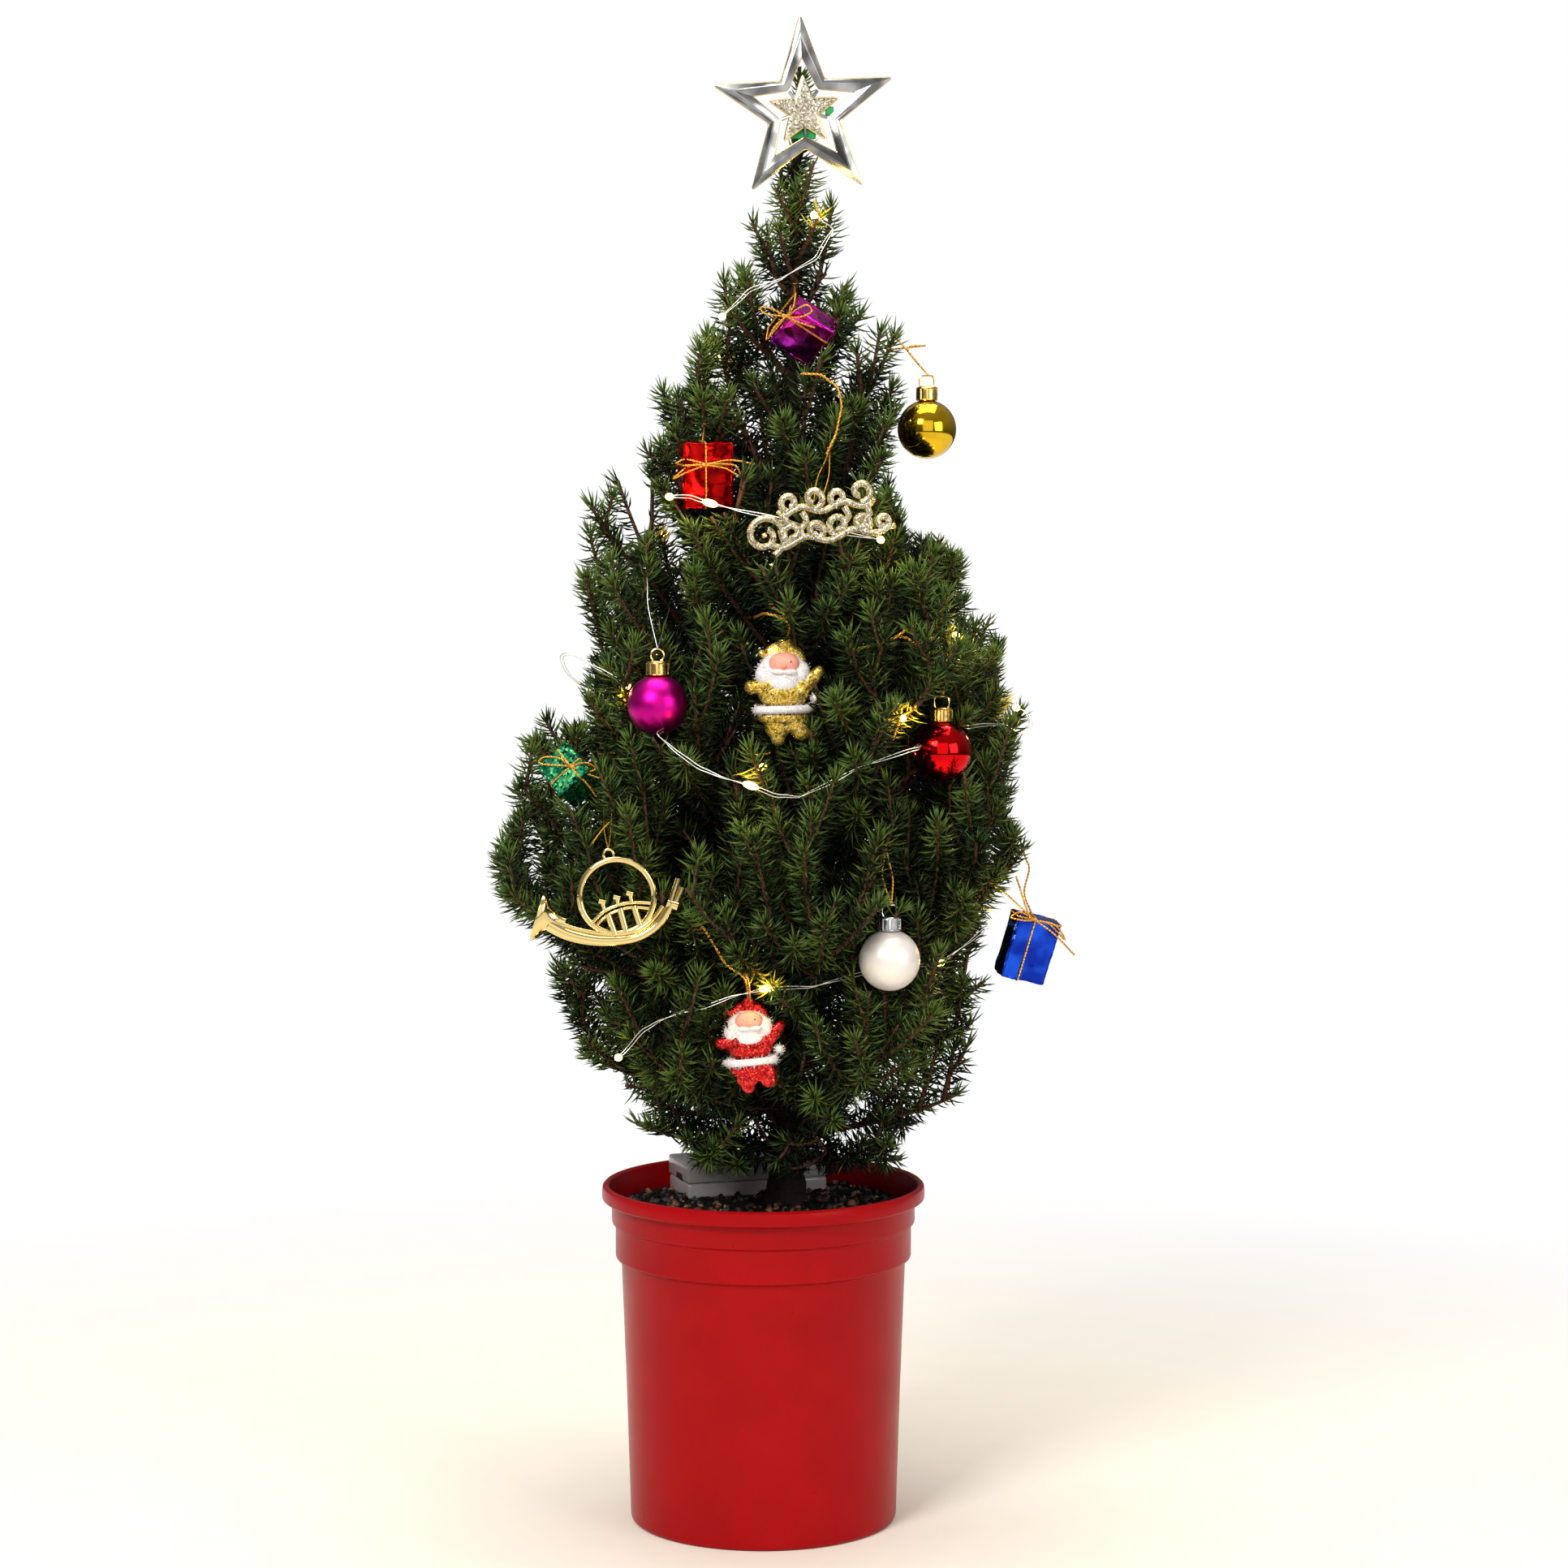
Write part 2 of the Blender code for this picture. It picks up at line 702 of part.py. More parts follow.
def brush(name, path, root, radius, space, index, others, bare=1):
    """A three-sided twig whose side faces are each drawn out into a needle where there is room."""
    frames = frames_along(path)
    last = len(path) - 1
    points = [corner for corners in twig_rings(path, root, radius) for corner in corners]
    end = path[-1] + frames[-1][0] * TUFT
    points.append(end if space.free(end, index) else path[-1].lerp(end, 0.2))
    tuft = len(points) - 1
    faces = [[2, 1, 0]]
    for step in range(last):
        for side in range(3):
            beside = (side + 1) % 3
            low, high = 3 * step, 3 * step + 3
            quad = [low + side, low + beside, high + beside, high + side]
            middle = sum((points[corner] for corner in quad), Vector()) / 4
            tangent = frames[step][0]
            out = middle - path[step].lerp(path[step + 1], 0.5)
            out = (out - tangent * out.dot(tangent)).normalized()
            needle = middle + out * NEEDLE_OUT + tangent * NEEDLE_FORWARD
            spine = [middle.lerp(needle, share) for share in (0.5, 0.75, 1.0)]
            grows = step >= bare and all(
                space.free(point, index) and off_paths(point, others, SHOOT_MARGIN)
                for point in spine
            )
            if not grows:
                faces += [[quad[0], quad[1], quad[2]], [quad[0], quad[2], quad[3]]]
                continue
            points.append(needle)
            tip = len(points) - 1
            faces += [[quad[corner], quad[(corner + 1) % 4], tip] for corner in range(4)]
    faces += [[3 * last + side, 3 * last + (side + 1) % 3, tuft] for side in range(3)]
    return mesh_object(name, points, faces, SPRUCE_NEEDLES)


def make_mass(limb, space, trunk_cutter):
    """A mass of needles: its stem and side shoots, joined into one body."""
    stem = stem_of(limb)
    root = STEM_ROOT if limb.has_bough else min(STEM_ROOT, 0.6 * trunk_radius(stem[0].z))
    paths = side_shoots_of(limb, stem, space)
    name = f"needles_{limb.name}"
    mass = brush(name, stem, root, STEM_RADIUS, space, limb.index, paths)
    shoots = bpy.data.collections.new(f"shoots_{limb.name}")
    bpy.context.scene.collection.children.link(shoots)
    for path in paths:
        others = [stem] + [other for other in paths if other is not path]
        root = 0.4 * SHOOT_RADIUS
        shoot = brush("shoot", path, root, SHOOT_RADIUS, space, limb.index, others)
        bpy.context.scene.collection.objects.unlink(shoot)
        shoots.objects.link(shoot)
    if shoots.objects:
        applied_boolean(mass, "UNION", "MANIFOLD", collection=shoots)
    if not limb.has_bough:
        applied_boolean(mass, "DIFFERENCE", "MANIFOLD", other=trunk_cutter)
    keep_largest_shell(mass)


def star_outline(radius, notch, height):
    """Ten corners of a star in the plane at height in front of the star's own middle."""
    corners = []
    for corner in range(10):
        angle = STAR_TURN + math.pi / 2 + math.pi * corner / 5
        reach = radius if corner % 2 == 0 else radius * notch
        corners.append(Vector((reach * math.cos(angle), height, reach * math.sin(angle))))
    return [STAR_CENTRE + corner for corner in corners]


def extruded_star(name, radius, notch, half_depth, finish=None):
    return lofted(
        name,
        [
            star_outline(radius, notch, half_depth),
            star_outline(radius, notch, -half_depth),
        ],
        finish,
    )


def box_between(name, begin, end, width, half_depth):
    """A bar in the star's plane from begin to end."""
    along = (end - begin).normalized()
    across = along.cross(Vector((0, 1, 0))).normalized() * (width / 2)
    deep = Vector((0, half_depth, 0))
    rings = [
        [point - across - deep, point + across - deep, point + across + deep, point - across + deep]
        for point in (begin, end)
    ]
    return lofted(name, rings)


def make_star(trunk_cutter):
    """An open five-pointed star with a small star on struts in it, clipped round the leader."""
    half = STAR_THICK / 2
    star = extruded_star("star_topper", STAR_RADIUS, STAR_NOTCH, half, SILVER_PLATE)
    notch = OPENING_NOTCH / OPENING_POINT
    opening = cutter(extruded_star("opening", STAR_RADIUS * OPENING_POINT, notch, 2 * half))
    applied_boolean(star, "DIFFERENCE", "EXACT", other=opening)
    bpy.data.objects.remove(opening, do_unlink=True)
    pieces = bpy.data.collections.new("star_pieces")
    bpy.context.scene.collection.children.link(pieces)
    made = [extruded_star("small_star", SMALL_STAR_RADIUS, SMALL_STAR_NOTCH, 0.7 * half)]
    for corner in range(1, 10, 2):
        ray = star_outline(1.0, 1.0, 0)[corner] - STAR_CENTRE
        begin = STAR_CENTRE + ray * (0.7 * SMALL_STAR_RADIUS * SMALL_STAR_NOTCH)
        end = STAR_CENTRE + ray * (STAR_RADIUS * (OPENING_NOTCH + 0.04))
        made.append(box_between(f"strut_{corner}", begin, end, STRUT_WIDTH, 0.5 * half))
    clip_rings = [
        ring(trunk_at(height), Vector((1, 0, 0)), Vector((0, 1, 0)), CLIP_RADIUS, 10)
        for height in CLIP_ENDS
    ]
    made.append(lofted("clip", clip_rings))
    web_end = trunk_at(sum(CLIP_ENDS) / 2)
    web_begin = Vector((web_end.x, STAR_CENTRE.y, web_end.z))
    web = [
        ring(point, Vector((1, 0, 0)), UP, CLIP_RADIUS / 2, 6) for point in (web_end, web_begin)
    ]
    made.append(lofted("web", web))
    for piece in made:
        bpy.context.scene.collection.objects.unlink(piece)
        pieces.objects.link(piece)
    applied_boolean(star, "UNION", "EXACT", collection=pieces)
    applied_boolean(star, "DIFFERENCE", "EXACT", other=trunk_cutter)
    keep_largest_shell(star)


def main():
    for old in list(bpy.data.objects):
        bpy.data.objects.remove(old, do_unlink=True)
    make_pot()
    make_soil()
    make_trunk("trunk", 0.0, SPRUCE_BARK)
    trunk_cutter = cutter(make_trunk("trunk_cutter", CLEARANCE * 1.2))
    limbs = all_limbs()
    space = Space(limbs)
    for limb in limbs:
        if limb.has_bough:
            make_bough(limb, trunk_cutter)
        make_mass(limb, space, trunk_cutter)
    make_star(trunk_cutter)
    bpy.data.objects.remove(trunk_cutter, do_unlink=True)


main()
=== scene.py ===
"""A potted dwarf alberta spruce, dressed as a small Christmas tree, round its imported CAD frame."""

import math
import random
from functools import lru_cache

import bpy
import numpy as np
from bpy.props import FloatProperty, FloatVectorProperty, IntProperty, PointerProperty
from mathutils import Euler, Matrix, Vector, noise


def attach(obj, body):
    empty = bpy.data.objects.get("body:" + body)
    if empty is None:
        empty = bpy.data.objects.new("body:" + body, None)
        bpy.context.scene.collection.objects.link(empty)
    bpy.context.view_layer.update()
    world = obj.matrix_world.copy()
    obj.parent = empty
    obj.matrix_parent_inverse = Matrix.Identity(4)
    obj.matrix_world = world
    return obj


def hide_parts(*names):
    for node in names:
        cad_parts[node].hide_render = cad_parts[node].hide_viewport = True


bl_info = {
    "name": "Potted Spruce",
    "version": (1, 0, 0),
    "blender": (4, 5, 0),
    "location": "View3D > Sidebar > Spruce",
    "description": "Dresses a potted dwarf spruce with needles, bark, ornaments and lights",
    "category": "Object",
}

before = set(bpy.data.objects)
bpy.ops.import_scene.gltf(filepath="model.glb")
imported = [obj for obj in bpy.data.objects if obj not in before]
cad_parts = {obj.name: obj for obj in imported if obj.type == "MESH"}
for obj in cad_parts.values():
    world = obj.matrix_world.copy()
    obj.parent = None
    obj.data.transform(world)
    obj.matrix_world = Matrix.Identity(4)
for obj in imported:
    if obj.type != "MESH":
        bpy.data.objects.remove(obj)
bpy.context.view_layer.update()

RIGHT = Vector((1, 0, 0))
UP = Vector((0, 0, 1))
FRONT = Vector((0, -1, 0))
GOLDEN_TURN = math.radians(137.5)

# The crown's growth rule and its named sizes, as in the part's source
SOIL_TOP = 0.197
POT_HEIGHT = 0.210
TRUNK_FOOT = (0.0138, 0.0)
TRUNK_LEAN = 0.0085
TRUNK_SWAY = 0.0022
TRUNK_TIP = 0.894
TRUNK_RADIUS = 0.0098
TIP_RADIUS = 0.0011
TRUNK_TAPER = 0.85
FLARE = 0.0045
FLARE_HEIGHT = 0.012
ROOT_LOBES = 2.5
ROOT_LOBE_DEPTH = 0.5
ROOT_LOBE_TURN = 0.6
BARE_SHARE = 0.26
BEND_OUT = 0.60
BEND_UP = 0.20
END_SHY = 0.0060
BOUGH_RADIUS = 0.0040
BOUGH_TIP_RADIUS = 0.0026
SHOOT_RADIUS = 0.0050
SHOOT_TIP = 0.62
SEGMENT = 0.0190
TWIST = math.radians(43)
SPREAD = math.radians(48)
LIFT = 0.42
CURL = 0.20
FIRST_SHOOT = 0.06
FIRST_ON_TRUNK = 0.15
LAST_SHOOT = 0.82
LENGTH_AT_ROOT = 0.64
LENGTH_FALL = 0.30
TURNS_TRIED = 6
SHORTEST_SHOOT = 2
SHOOTS_APART = 0.0130
SPACE_MARGIN = 0.0011
LIMB_MARGIN = 0.0009
LOWEST_NEEDLE = POT_HEIGHT + 0.003
FIRST_SEED = 400
CLEARANCE = 0.0003
# Each row is a bearing in degrees, the fork's height, the reach, the tip's height and its shoots
BOUGH_SHOOTS = 7
BOUGH_TIERS = {
    "bottom": [
        (200, 0.231, 0.104, 0.258),
        (328, 0.226, 0.088, 0.238),
        (95, 0.234, 0.112, 0.264),
    ],
    "low": [
        (182, 0.258, 0.143, 0.302),
        (352, 0.240, 0.118, 0.277),
        (240, 0.256, 0.140, 0.300),
        (290, 0.262, 0.140, 0.304),
        (50, 0.262, 0.148, 0.312),
        (130, 0.266, 0.148, 0.308),
    ],
    "middle": [
        (176, 0.302, 0.181, 0.394),
        (14, 0.282, 0.132, 0.338),
        (348, 0.322, 0.150, 0.426),
        (226, 0.312, 0.164, 0.402),
        (277, 0.308, 0.166, 0.396),
        (63, 0.316, 0.164, 0.412),
        (120, 0.320, 0.166, 0.404),
    ],
    "high": [
        (186, 0.385, 0.163, 0.492),
        (4, 0.380, 0.146, 0.508),
    ],
}
TRUNK_TIERS = {
    "inner": [
        (238, 0.392, 0.128, 0.512, 7),
        (300, 0.400, 0.128, 0.518, 7),
        (58, 0.396, 0.130, 0.520, 7),
        (118, 0.404, 0.130, 0.514, 7),
    ],
    "upper": [
        (176, 0.492, 0.114, 0.650, 6),
        (356, 0.480, 0.112, 0.606, 6),
        (268, 0.486, 0.098, 0.614, 7),
        (88, 0.500, 0.098, 0.626, 7),
    ],
    "shoulder": [
        (196, 0.580, 0.078, 0.700, 5),
        (160, 0.634, 0.054, 0.736, 4),
        (352, 0.594, 0.060, 0.740, 5),
        (280, 0.590, 0.052, 0.712, 5),
        (62, 0.598, 0.056, 0.722, 5),
        (118, 0.612, 0.050, 0.704, 4),
    ],
    "top": [
        (178, 0.756, 0.022, 0.800, 2),
        (188, 0.706, 0.036, 0.776, 3),
        (2, 0.744, 0.025, 0.790, 2),
        (355, 0.690, 0.038, 0.768, 3),
        (282, 0.752, 0.017, 0.826, 3),
        (96, 0.770, 0.014, 0.880, 4),
    ],
}
# The crown's outline: a height, and how far shoots reach to its left, right, and front and back
OUTLINE = (
    (0.225, 0.066, 0.060, 0.080),
    (0.255, 0.096, 0.090, 0.110),
    (0.300, 0.132, 0.112, 0.140),
    (0.335, 0.150, 0.120, 0.152),
    (0.400, 0.176, 0.136, 0.164),
    (0.440, 0.170, 0.140, 0.162),
    (0.500, 0.148, 0.136, 0.150),
    (0.555, 0.134, 0.116, 0.136),
    (0.600, 0.124, 0.092, 0.118),
    (0.640, 0.110, 0.066, 0.096),
    (0.700, 0.076, 0.058, 0.070),
    (0.745, 0.050, 0.054, 0.050),
    (0.780, 0.032, 0.032, 0.036),
    (0.820, 0.020, 0.020, 0.024),
    (0.910, 0.016, 0.016, 0.018),
)

# Finer twigs, round by round: the longest, and the gap between two on the same axis
TWIG_ROUNDS = ((0.085, 0.0100), (0.070, 0.0100), (0.050, 0.0100))
TWIG_STEP = 0.0065
TWIGS_APART = 0.0165
LOW_TWIGS = 0.268
# Height above which needles are painted lighter, as painted light on the crown's top. Below it, inner
# twigs carry fewer needles.
BRIGHT_TOP = 0.70
FOOT_TWIGS = (0.292, 0.060, 0.0022, 0.0060)
TWIG_BREADTH = 1.15
SHORTEST_TWIG = 0.018
TWIG_ALONG = 0.50
TWIG_OUT = 0.60
TWIG_UP = 0.80
TWIG_CURL = 0.36
TWIG_FALL = 0.90
TWIG_SPARE = 0.016
LEADER_FOOT = 0.216
NEEDLES_TOP = 0.888
TWIG_INSET = 7
# Steps of painted light that sort the needles into kinds of green, from painted shade inside to painted
# light outside.
NEEDLE_LIGHTS = (0.52, 0.70, 0.90)
NEEDLE_OUTSET = -5
TWIG_WIDTHS = ((0.0024, 0.0010), (0.0018, 0.0010), (0.0015, 0.0010), (0.0014, 0.0009),
               (0.0013, 0.0009))

# Camera, worked out from the photograph
CAMERA_PLACE = Vector((0.0128, -2.2, 0.618))
CAMERA_TILT = math.radians(4.17)
LENS = 82.26
SENSOR = 36.0
FRAME_PIXELS = 1932
FOCAL = LENS / SENSOR * FRAME_PIXELS
MIDDLE_PIXEL = FRAME_PIXELS / 2

# The crown against the sky, as pixels of the photograph, and where sky shows inside it
SKYLINE = (
    (968, 190), (914, 276), (930, 322), (926, 336), (905, 306), (864, 376), (872, 392), (858, 394),
    (842, 420), (838, 442), (846, 462), (838, 474), (815, 462), (782, 478), (796, 535), (785, 548),
    (785, 565), (806, 612), (802, 630), (836, 668), (838, 690), (826, 706), (846, 736), (842, 776),
    (818, 715), (824, 668), (805, 642), (780, 668), (776, 702), (762, 640), (776, 612), (760, 580),
    (730, 568), (716, 596), (716, 672), (703, 722), (730, 790), (716, 838), (722, 876), (697, 900),
    (684, 858), (660, 860), (658, 900), (648, 908), (636, 903), (620, 925), (636, 955), (613, 980),
    (618, 1025), (606, 1035), (598, 1085), (608, 1108), (603, 1125), (618, 1155), (645, 1178),
    (660, 1170), (668, 1182), (650, 1194), (658, 1228), (684, 1244), (684, 1262), (700, 1270),
    (714, 1308), (734, 1316), (752, 1312), (768, 1322), (766, 1336), (782, 1350), (768, 1366),
    (770, 1382), (800, 1398), (822, 1392), (836, 1400), (850, 1450), (1120, 1450), (1110, 1398),
    (1190, 1358), (1203, 1298), (1198, 1280), (1210, 1246), (1232, 1222), (1220, 1200),
    (1204, 1206), (1182, 1190), (1222, 1158), (1258, 1062), (1280, 1034), (1276, 1020),
    (1248, 1010), (1244, 996), (1258, 964), (1256, 900), (1270, 888), (1266, 868), (1250, 852),
    (1236, 862), (1238, 782), (1226, 758), (1212, 754), (1200, 762), (1196, 686), (1146, 652),
    (1130, 658), (1108, 652), (1118, 640), (1098, 578), (1114, 552), (1108, 535), (1124, 470),
    (1142, 444), (1138, 402), (1100, 386), (1082, 392), (1078, 436), (1066, 440), (1058, 430),
    (1078, 350), (1070, 332), (1056, 330), (1030, 356), (1018, 350), (1016, 334), (1048, 292),
    (1002, 165), (1006, 82), (974, 82), (978, 165),
)
SKY_GAPS = (
    (913, 490, 8), (918, 505, 11), (925, 522, 13), (932, 545, 14), (925, 565, 10), (908, 428, 5),
    (1046, 456, 9), (1042, 478, 7), (1030, 565, 6), (1024, 585, 5), (660, 1052, 9), (690, 1062, 7),
    (660, 1090, 6), (676, 1104, 7), (702, 1168, 11), (722, 1178, 10), (745, 1184, 8), (768, 1172, 6),
    (790, 1190, 7), (1112, 1308, 9), (1128, 1322, 9), (1105, 1240, 5), (1130, 1262, 5),
    (1085, 1292, 6), (1070, 1362, 8), (1058, 1382, 6), (872, 1298, 4), (822, 1344, 6),
)

# Star
STAR_RADIUS = 0.057
STAR_CENTRE = Vector((0.0249, -0.0135, 0.866))
STAR_TURN = math.radians(2.5)
STAR_NOTCH = 0.39
STAR_THICK = 0.005
STAR_MARGIN = 0.0018
CLIP_RADIUS = 0.0042
CLIP_ENDS = (0.854, 0.868)
STAR_OPENING = 0.57
STAR_OPENING_NOTCH = 0.275
SMALL_STAR_RADIUS = 0.0215
SMALL_STAR_NOTCH = 0.42

# Ornaments. Places are pixels of the photograph, across and down
BAUBLES = {
    "gold": dict(
        at=(1142, 529), size=36, rough=0.09, colour=(0.84, 0.52, 0.02), deep=(0.62, 0.36, 0.012),
        cords=(((1112, 425), (1103, 410)), ((1118, 430), (1140, 426), (1160, 408))),
        free=(1108, 412),
    ),
    "magenta": dict(
        at=(810, 868), size=37, rough=0.36, colour=(0.62, 0.006, 0.25), deep=(0.50, 0.004, 0.22),
        cords=(((799, 750), (790, 700)), ((822, 760), (825, 720))),
    ),
    "red": dict(
        at=(1160, 926), size=38, rough=0.07, colour=(0.76, 0.006, 0.008), deep=(0.60, 0.003, 0.005),
        cords=(((1155, 838), (1154, 812)), ((1165, 835), (1168, 800))),
    ),
    "pearl": dict(
        at=(1096, 1183), size=38, rough=0.34, colour=(0.80, 0.73, 0.66), deep=(0.74, 0.66, 0.58),
        cords=(((1087, 1080), (1083, 1040)), ((1100, 1085), (1098, 1042))),
    ),
}
GIFTS = {
    "purple": dict(
        at=(990, 408), size=(56, 58, 34), turn=(28, 16, 40), colour=(0.74, 0.030, 0.42),
        deep=(0.44, 0.020, 0.50),
        bow=(((968, 390), (950, 380), (937, 379), (944, 387), (968, 390)),
             ((968, 390), (992, 376), (1000, 384), (985, 391), (968, 390)),
             ((968, 390), (986, 398), (1004, 404)), ((968, 390), (955, 402), (948, 414))),
        hang=((986, 366), (975, 352)),
    ),
    "red": dict(
        at=(869, 585), size=(62, 80, 36), turn=(4, 14, 0), colour=(0.60, 0.005, 0.004),
        deep=(0.28, 0.003, 0.003),
        bow=(((870, 573), (850, 574), (829, 590), (846, 582), (870, 573)),
             ((870, 573), (893, 577), (911, 586), (904, 573), (870, 571)),
             ((870, 572), (900, 567), (930, 572)), ((870, 572), (845, 566), (832, 571))),
        hang=((869, 545), (876, 520)),
    ),
    "green": dict(
        at=(703, 955), size=(48, 54, 46), turn=(-36, 0, -42), colour=(0.02, 0.42, 0.20),
        deep=(0.004, 0.13, 0.07),
        bow=(((703, 944), (688, 934), (670, 933), (666, 941), (703, 944)),
             ((703, 944), (722, 940), (734, 947), (722, 951), (703, 944)),
             ((703, 944), (722, 953), (739, 959)), ((703, 944), (720, 962), (735, 982))),
        hang=((711, 914), (716, 890)),
    ),
    "blue": dict(
        at=(1266, 1167), size=(57, 80, 34), turn=(4, 14, 16), colour=(0.016, 0.090, 0.72),
        deep=(0.008, 0.030, 0.38),
        bow=(((1276, 1134), (1292, 1138), (1312, 1158), (1300, 1140), (1276, 1134)),
             ((1276, 1134), (1258, 1124), (1246, 1130), (1262, 1134), (1276, 1134)),
             ((1276, 1134), (1300, 1152), (1324, 1177)), ((1276, 1134), (1268, 1128), (1252, 1080)),
             ((1276, 1134), (1262, 1122), (1240, 1102), (1212, 1082))),
        hang=((1272, 1128), (1262, 1100), (1268, 1072), (1266, 1052)), free=(1262, 1052),
    ),
}
# A gnome's deep colour is painted shade on its sequins, and its light colour painted glints.
FIGURES = {
    "gold": dict(
        at=(965, 850), scale=1.0, turn=0, colour=(0.80, 0.52, 0.06), deep=(0.30, 0.16, 0.01),
        light=(1.0, 0.86, 0.40),
        cords=(((969, 785), (971, 768), (966, 756), (945, 756), (932, 766)),
               ((972, 786), (974, 765), (968, 752), (955, 750))),
    ),
    "red": dict(
        at=(924, 1286), scale=0.90, turn=-4, colour=(0.62, 0.010, 0.014), deep=(0.22, 0.003, 0.004),
        light=(1.0, 0.12, 0.07),
        cords=(((922, 1228), (917, 1205), (903, 1200), (888, 1178), (867, 1143)),
               ((924, 1228), (921, 1205), (915, 1196))),
    ),
}
HORN_AT = (752, 1106)
SIGN_AT = (1008, 642)
GOLD_SCRAPS = (
    ((1050, 800), (1068, 797), (1085, 793), (1103, 785), (1118, 775)),
    ((1103, 785), (1118, 786), (1130, 795), (1150, 785)),
    ((988, 460), (1012, 462), (1032, 478), (1037, 500), (1030, 535), (1018, 560)),
    ((1112, 868), (1108, 888), (1100, 912)),
)

# Lights: bulbs in the photograph, and the stretches of wire between them that show
GLOWS = (
    (1003, 265), (890, 390), (825, 612), (875, 620), (1085, 665), (1178, 783), (772, 845),
    (1252, 872), (1112, 885), (925, 968), (940, 945), (945, 1218), (1222, 1137), (1158, 1187),
    (762, 1303),
)
LOW_WIRE = ((762, 1303), (775, 1290), (790, 1272), (812, 1258), (840, 1247), (870, 1240),
            (905, 1227), (945, 1218), (1000, 1216), (1060, 1200), (1110, 1192), (1158, 1187),
            (1195, 1160), (1222, 1137))
MIDDLE_WIRE = ((810, 905), (832, 925), (860, 945), (890, 958), (925, 968), (955, 980), (985, 982),
               (1022, 965), (1060, 945), (1090, 935), (1120, 925), (1134, 921))
RIGHT_WIRE = ((1190, 896), (1214, 893), (1238, 893), (1258, 903), (1270, 893), (1264, 878),
              (1252, 872))
LEFT_WIRE = ((718, 845), (700, 830), (692, 810), (704, 806), (720, 815), (745, 828), (772, 845))
HIGH_WIRE = ((825, 612), (848, 612), (875, 620), (915, 630), (950, 637), (1010, 652), (1085, 665))
TOP_WIRE = ((890, 390), (925, 357), (960, 345), (1005, 318), (1026, 282), (1003, 265))
BULBS_APART = 0.105


def seen_at(across, down, depth):
    """The point that shows at a pixel of the photograph, in the upright plane y = depth."""
    right = (across - MIDDLE_PIXEL) / FOCAL
    rise = (MIDDLE_PIXEL - down) / FOCAL
    way = (depth - CAMERA_PLACE.y) / (math.cos(CAMERA_TILT) + math.sin(CAMERA_TILT) * rise)
    height = way * (math.cos(CAMERA_TILT) * rise - math.sin(CAMERA_TILT))
    return Vector((CAMERA_PLACE.x + right * way, depth, CAMERA_PLACE.z + height))


def shown_at(points):
    """The pixels of the photograph at which points show, as rows of across and down."""
    away = np.asarray(points, float) - np.array(CAMERA_PLACE)
    cosine, sine = math.cos(CAMERA_TILT), math.sin(CAMERA_TILT)
    scale = FOCAL / (away[:, 1] * cosine - away[:, 2] * sine)
    rise = away[:, 1] * sine + away[:, 2] * cosine
    return np.stack([MIDDLE_PIXEL + away[:, 0] * scale, MIDDLE_PIXEL - rise * scale], axis=1)


def pixels(count, depth):
    """The length in metres that so many pixels of the photograph show at a depth."""
    return count * (depth - CAMERA_PLACE.y) / FOCAL


class SpruceSizes(bpy.types.PropertyGroup):
    """Sizes and colours of the living tree and its pot."""

    needle_length: FloatProperty(
        name="Needle Length", description="Length of a full needle", default=0.0150, unit="LENGTH"
    )
    needle_width: FloatProperty(
        name="Needle Width", description="Width of a needle", default=0.00120, unit="LENGTH"
    )
    needles_per_cm: FloatProperty(
        name="Needles per cm", description="Needles on each centimetre of twig", default=22.0
    )
    # The needle greens are lit and shaded copies of one green: painted shade on inner needles and painted
    # light on outer ones. New sprays at the tips are also lighter of themselves.
    shade_green: FloatVectorProperty(
        name="Shade Green", description="Colour of inner needles", default=(0.0035, 0.0050, 0.0016),
        size=3, subtype="COLOR",
    )
    deep_green: FloatVectorProperty(
        name="Deep Green", description="Colour of older and shaded needles", default=(0.0055, 0.0105, 0.0026),
        size=3, subtype="COLOR",
    )
    leaf_green: FloatVectorProperty(
        name="Leaf Green", description="Colour of most outer needles",
        default=(0.0140, 0.0275, 0.0055), size=3, subtype="COLOR",
    )
    fresh_lit_green: FloatVectorProperty(
        name="Fresh Green", description="Colour of the new and lit sprays", default=(0.066, 0.108, 0.018),
        size=3, subtype="COLOR",
    )
    bark_brown: FloatVectorProperty(
        name="Bark Brown", description="Colour of twigs and bark", default=(0.070, 0.028, 0.015),
        size=3, subtype="COLOR",
    )
    pot_red: FloatVectorProperty(
        name="Pot Red", description="Colour of the pot", default=(0.30, 0.0020, 0.0035),
        size=3, subtype="COLOR",
    )
    pot_sides: IntProperty(name="Pot Sides", description="Steps round the pot", default=128)


class Level:
    """A number that varies over a surface. Python's signs add its Math nodes."""

    def __init__(self, recipe, socket):
        self.recipe = recipe
        self.socket = socket

    def maths(self, operation, first, second):
        made = self.recipe.node("ShaderNodeMath", {"operation": operation}, {0: first, 1: second})
        return Level(self.recipe, made.outputs[0])

    def __add__(self, other):
        return self.maths("ADD", self, other)

    def __radd__(self, other):
        return self.maths("ADD", other, self)

    def __sub__(self, other):
        return self.maths("SUBTRACT", self, other)

    def __rsub__(self, other):
        return self.maths("SUBTRACT", other, self)

    def __mul__(self, other):
        return self.maths("MULTIPLY", self, other)

    def __rmul__(self, other):
        return self.maths("MULTIPLY", other, self)

    def __pow__(self, other):
        return self.maths("POWER", self, other)


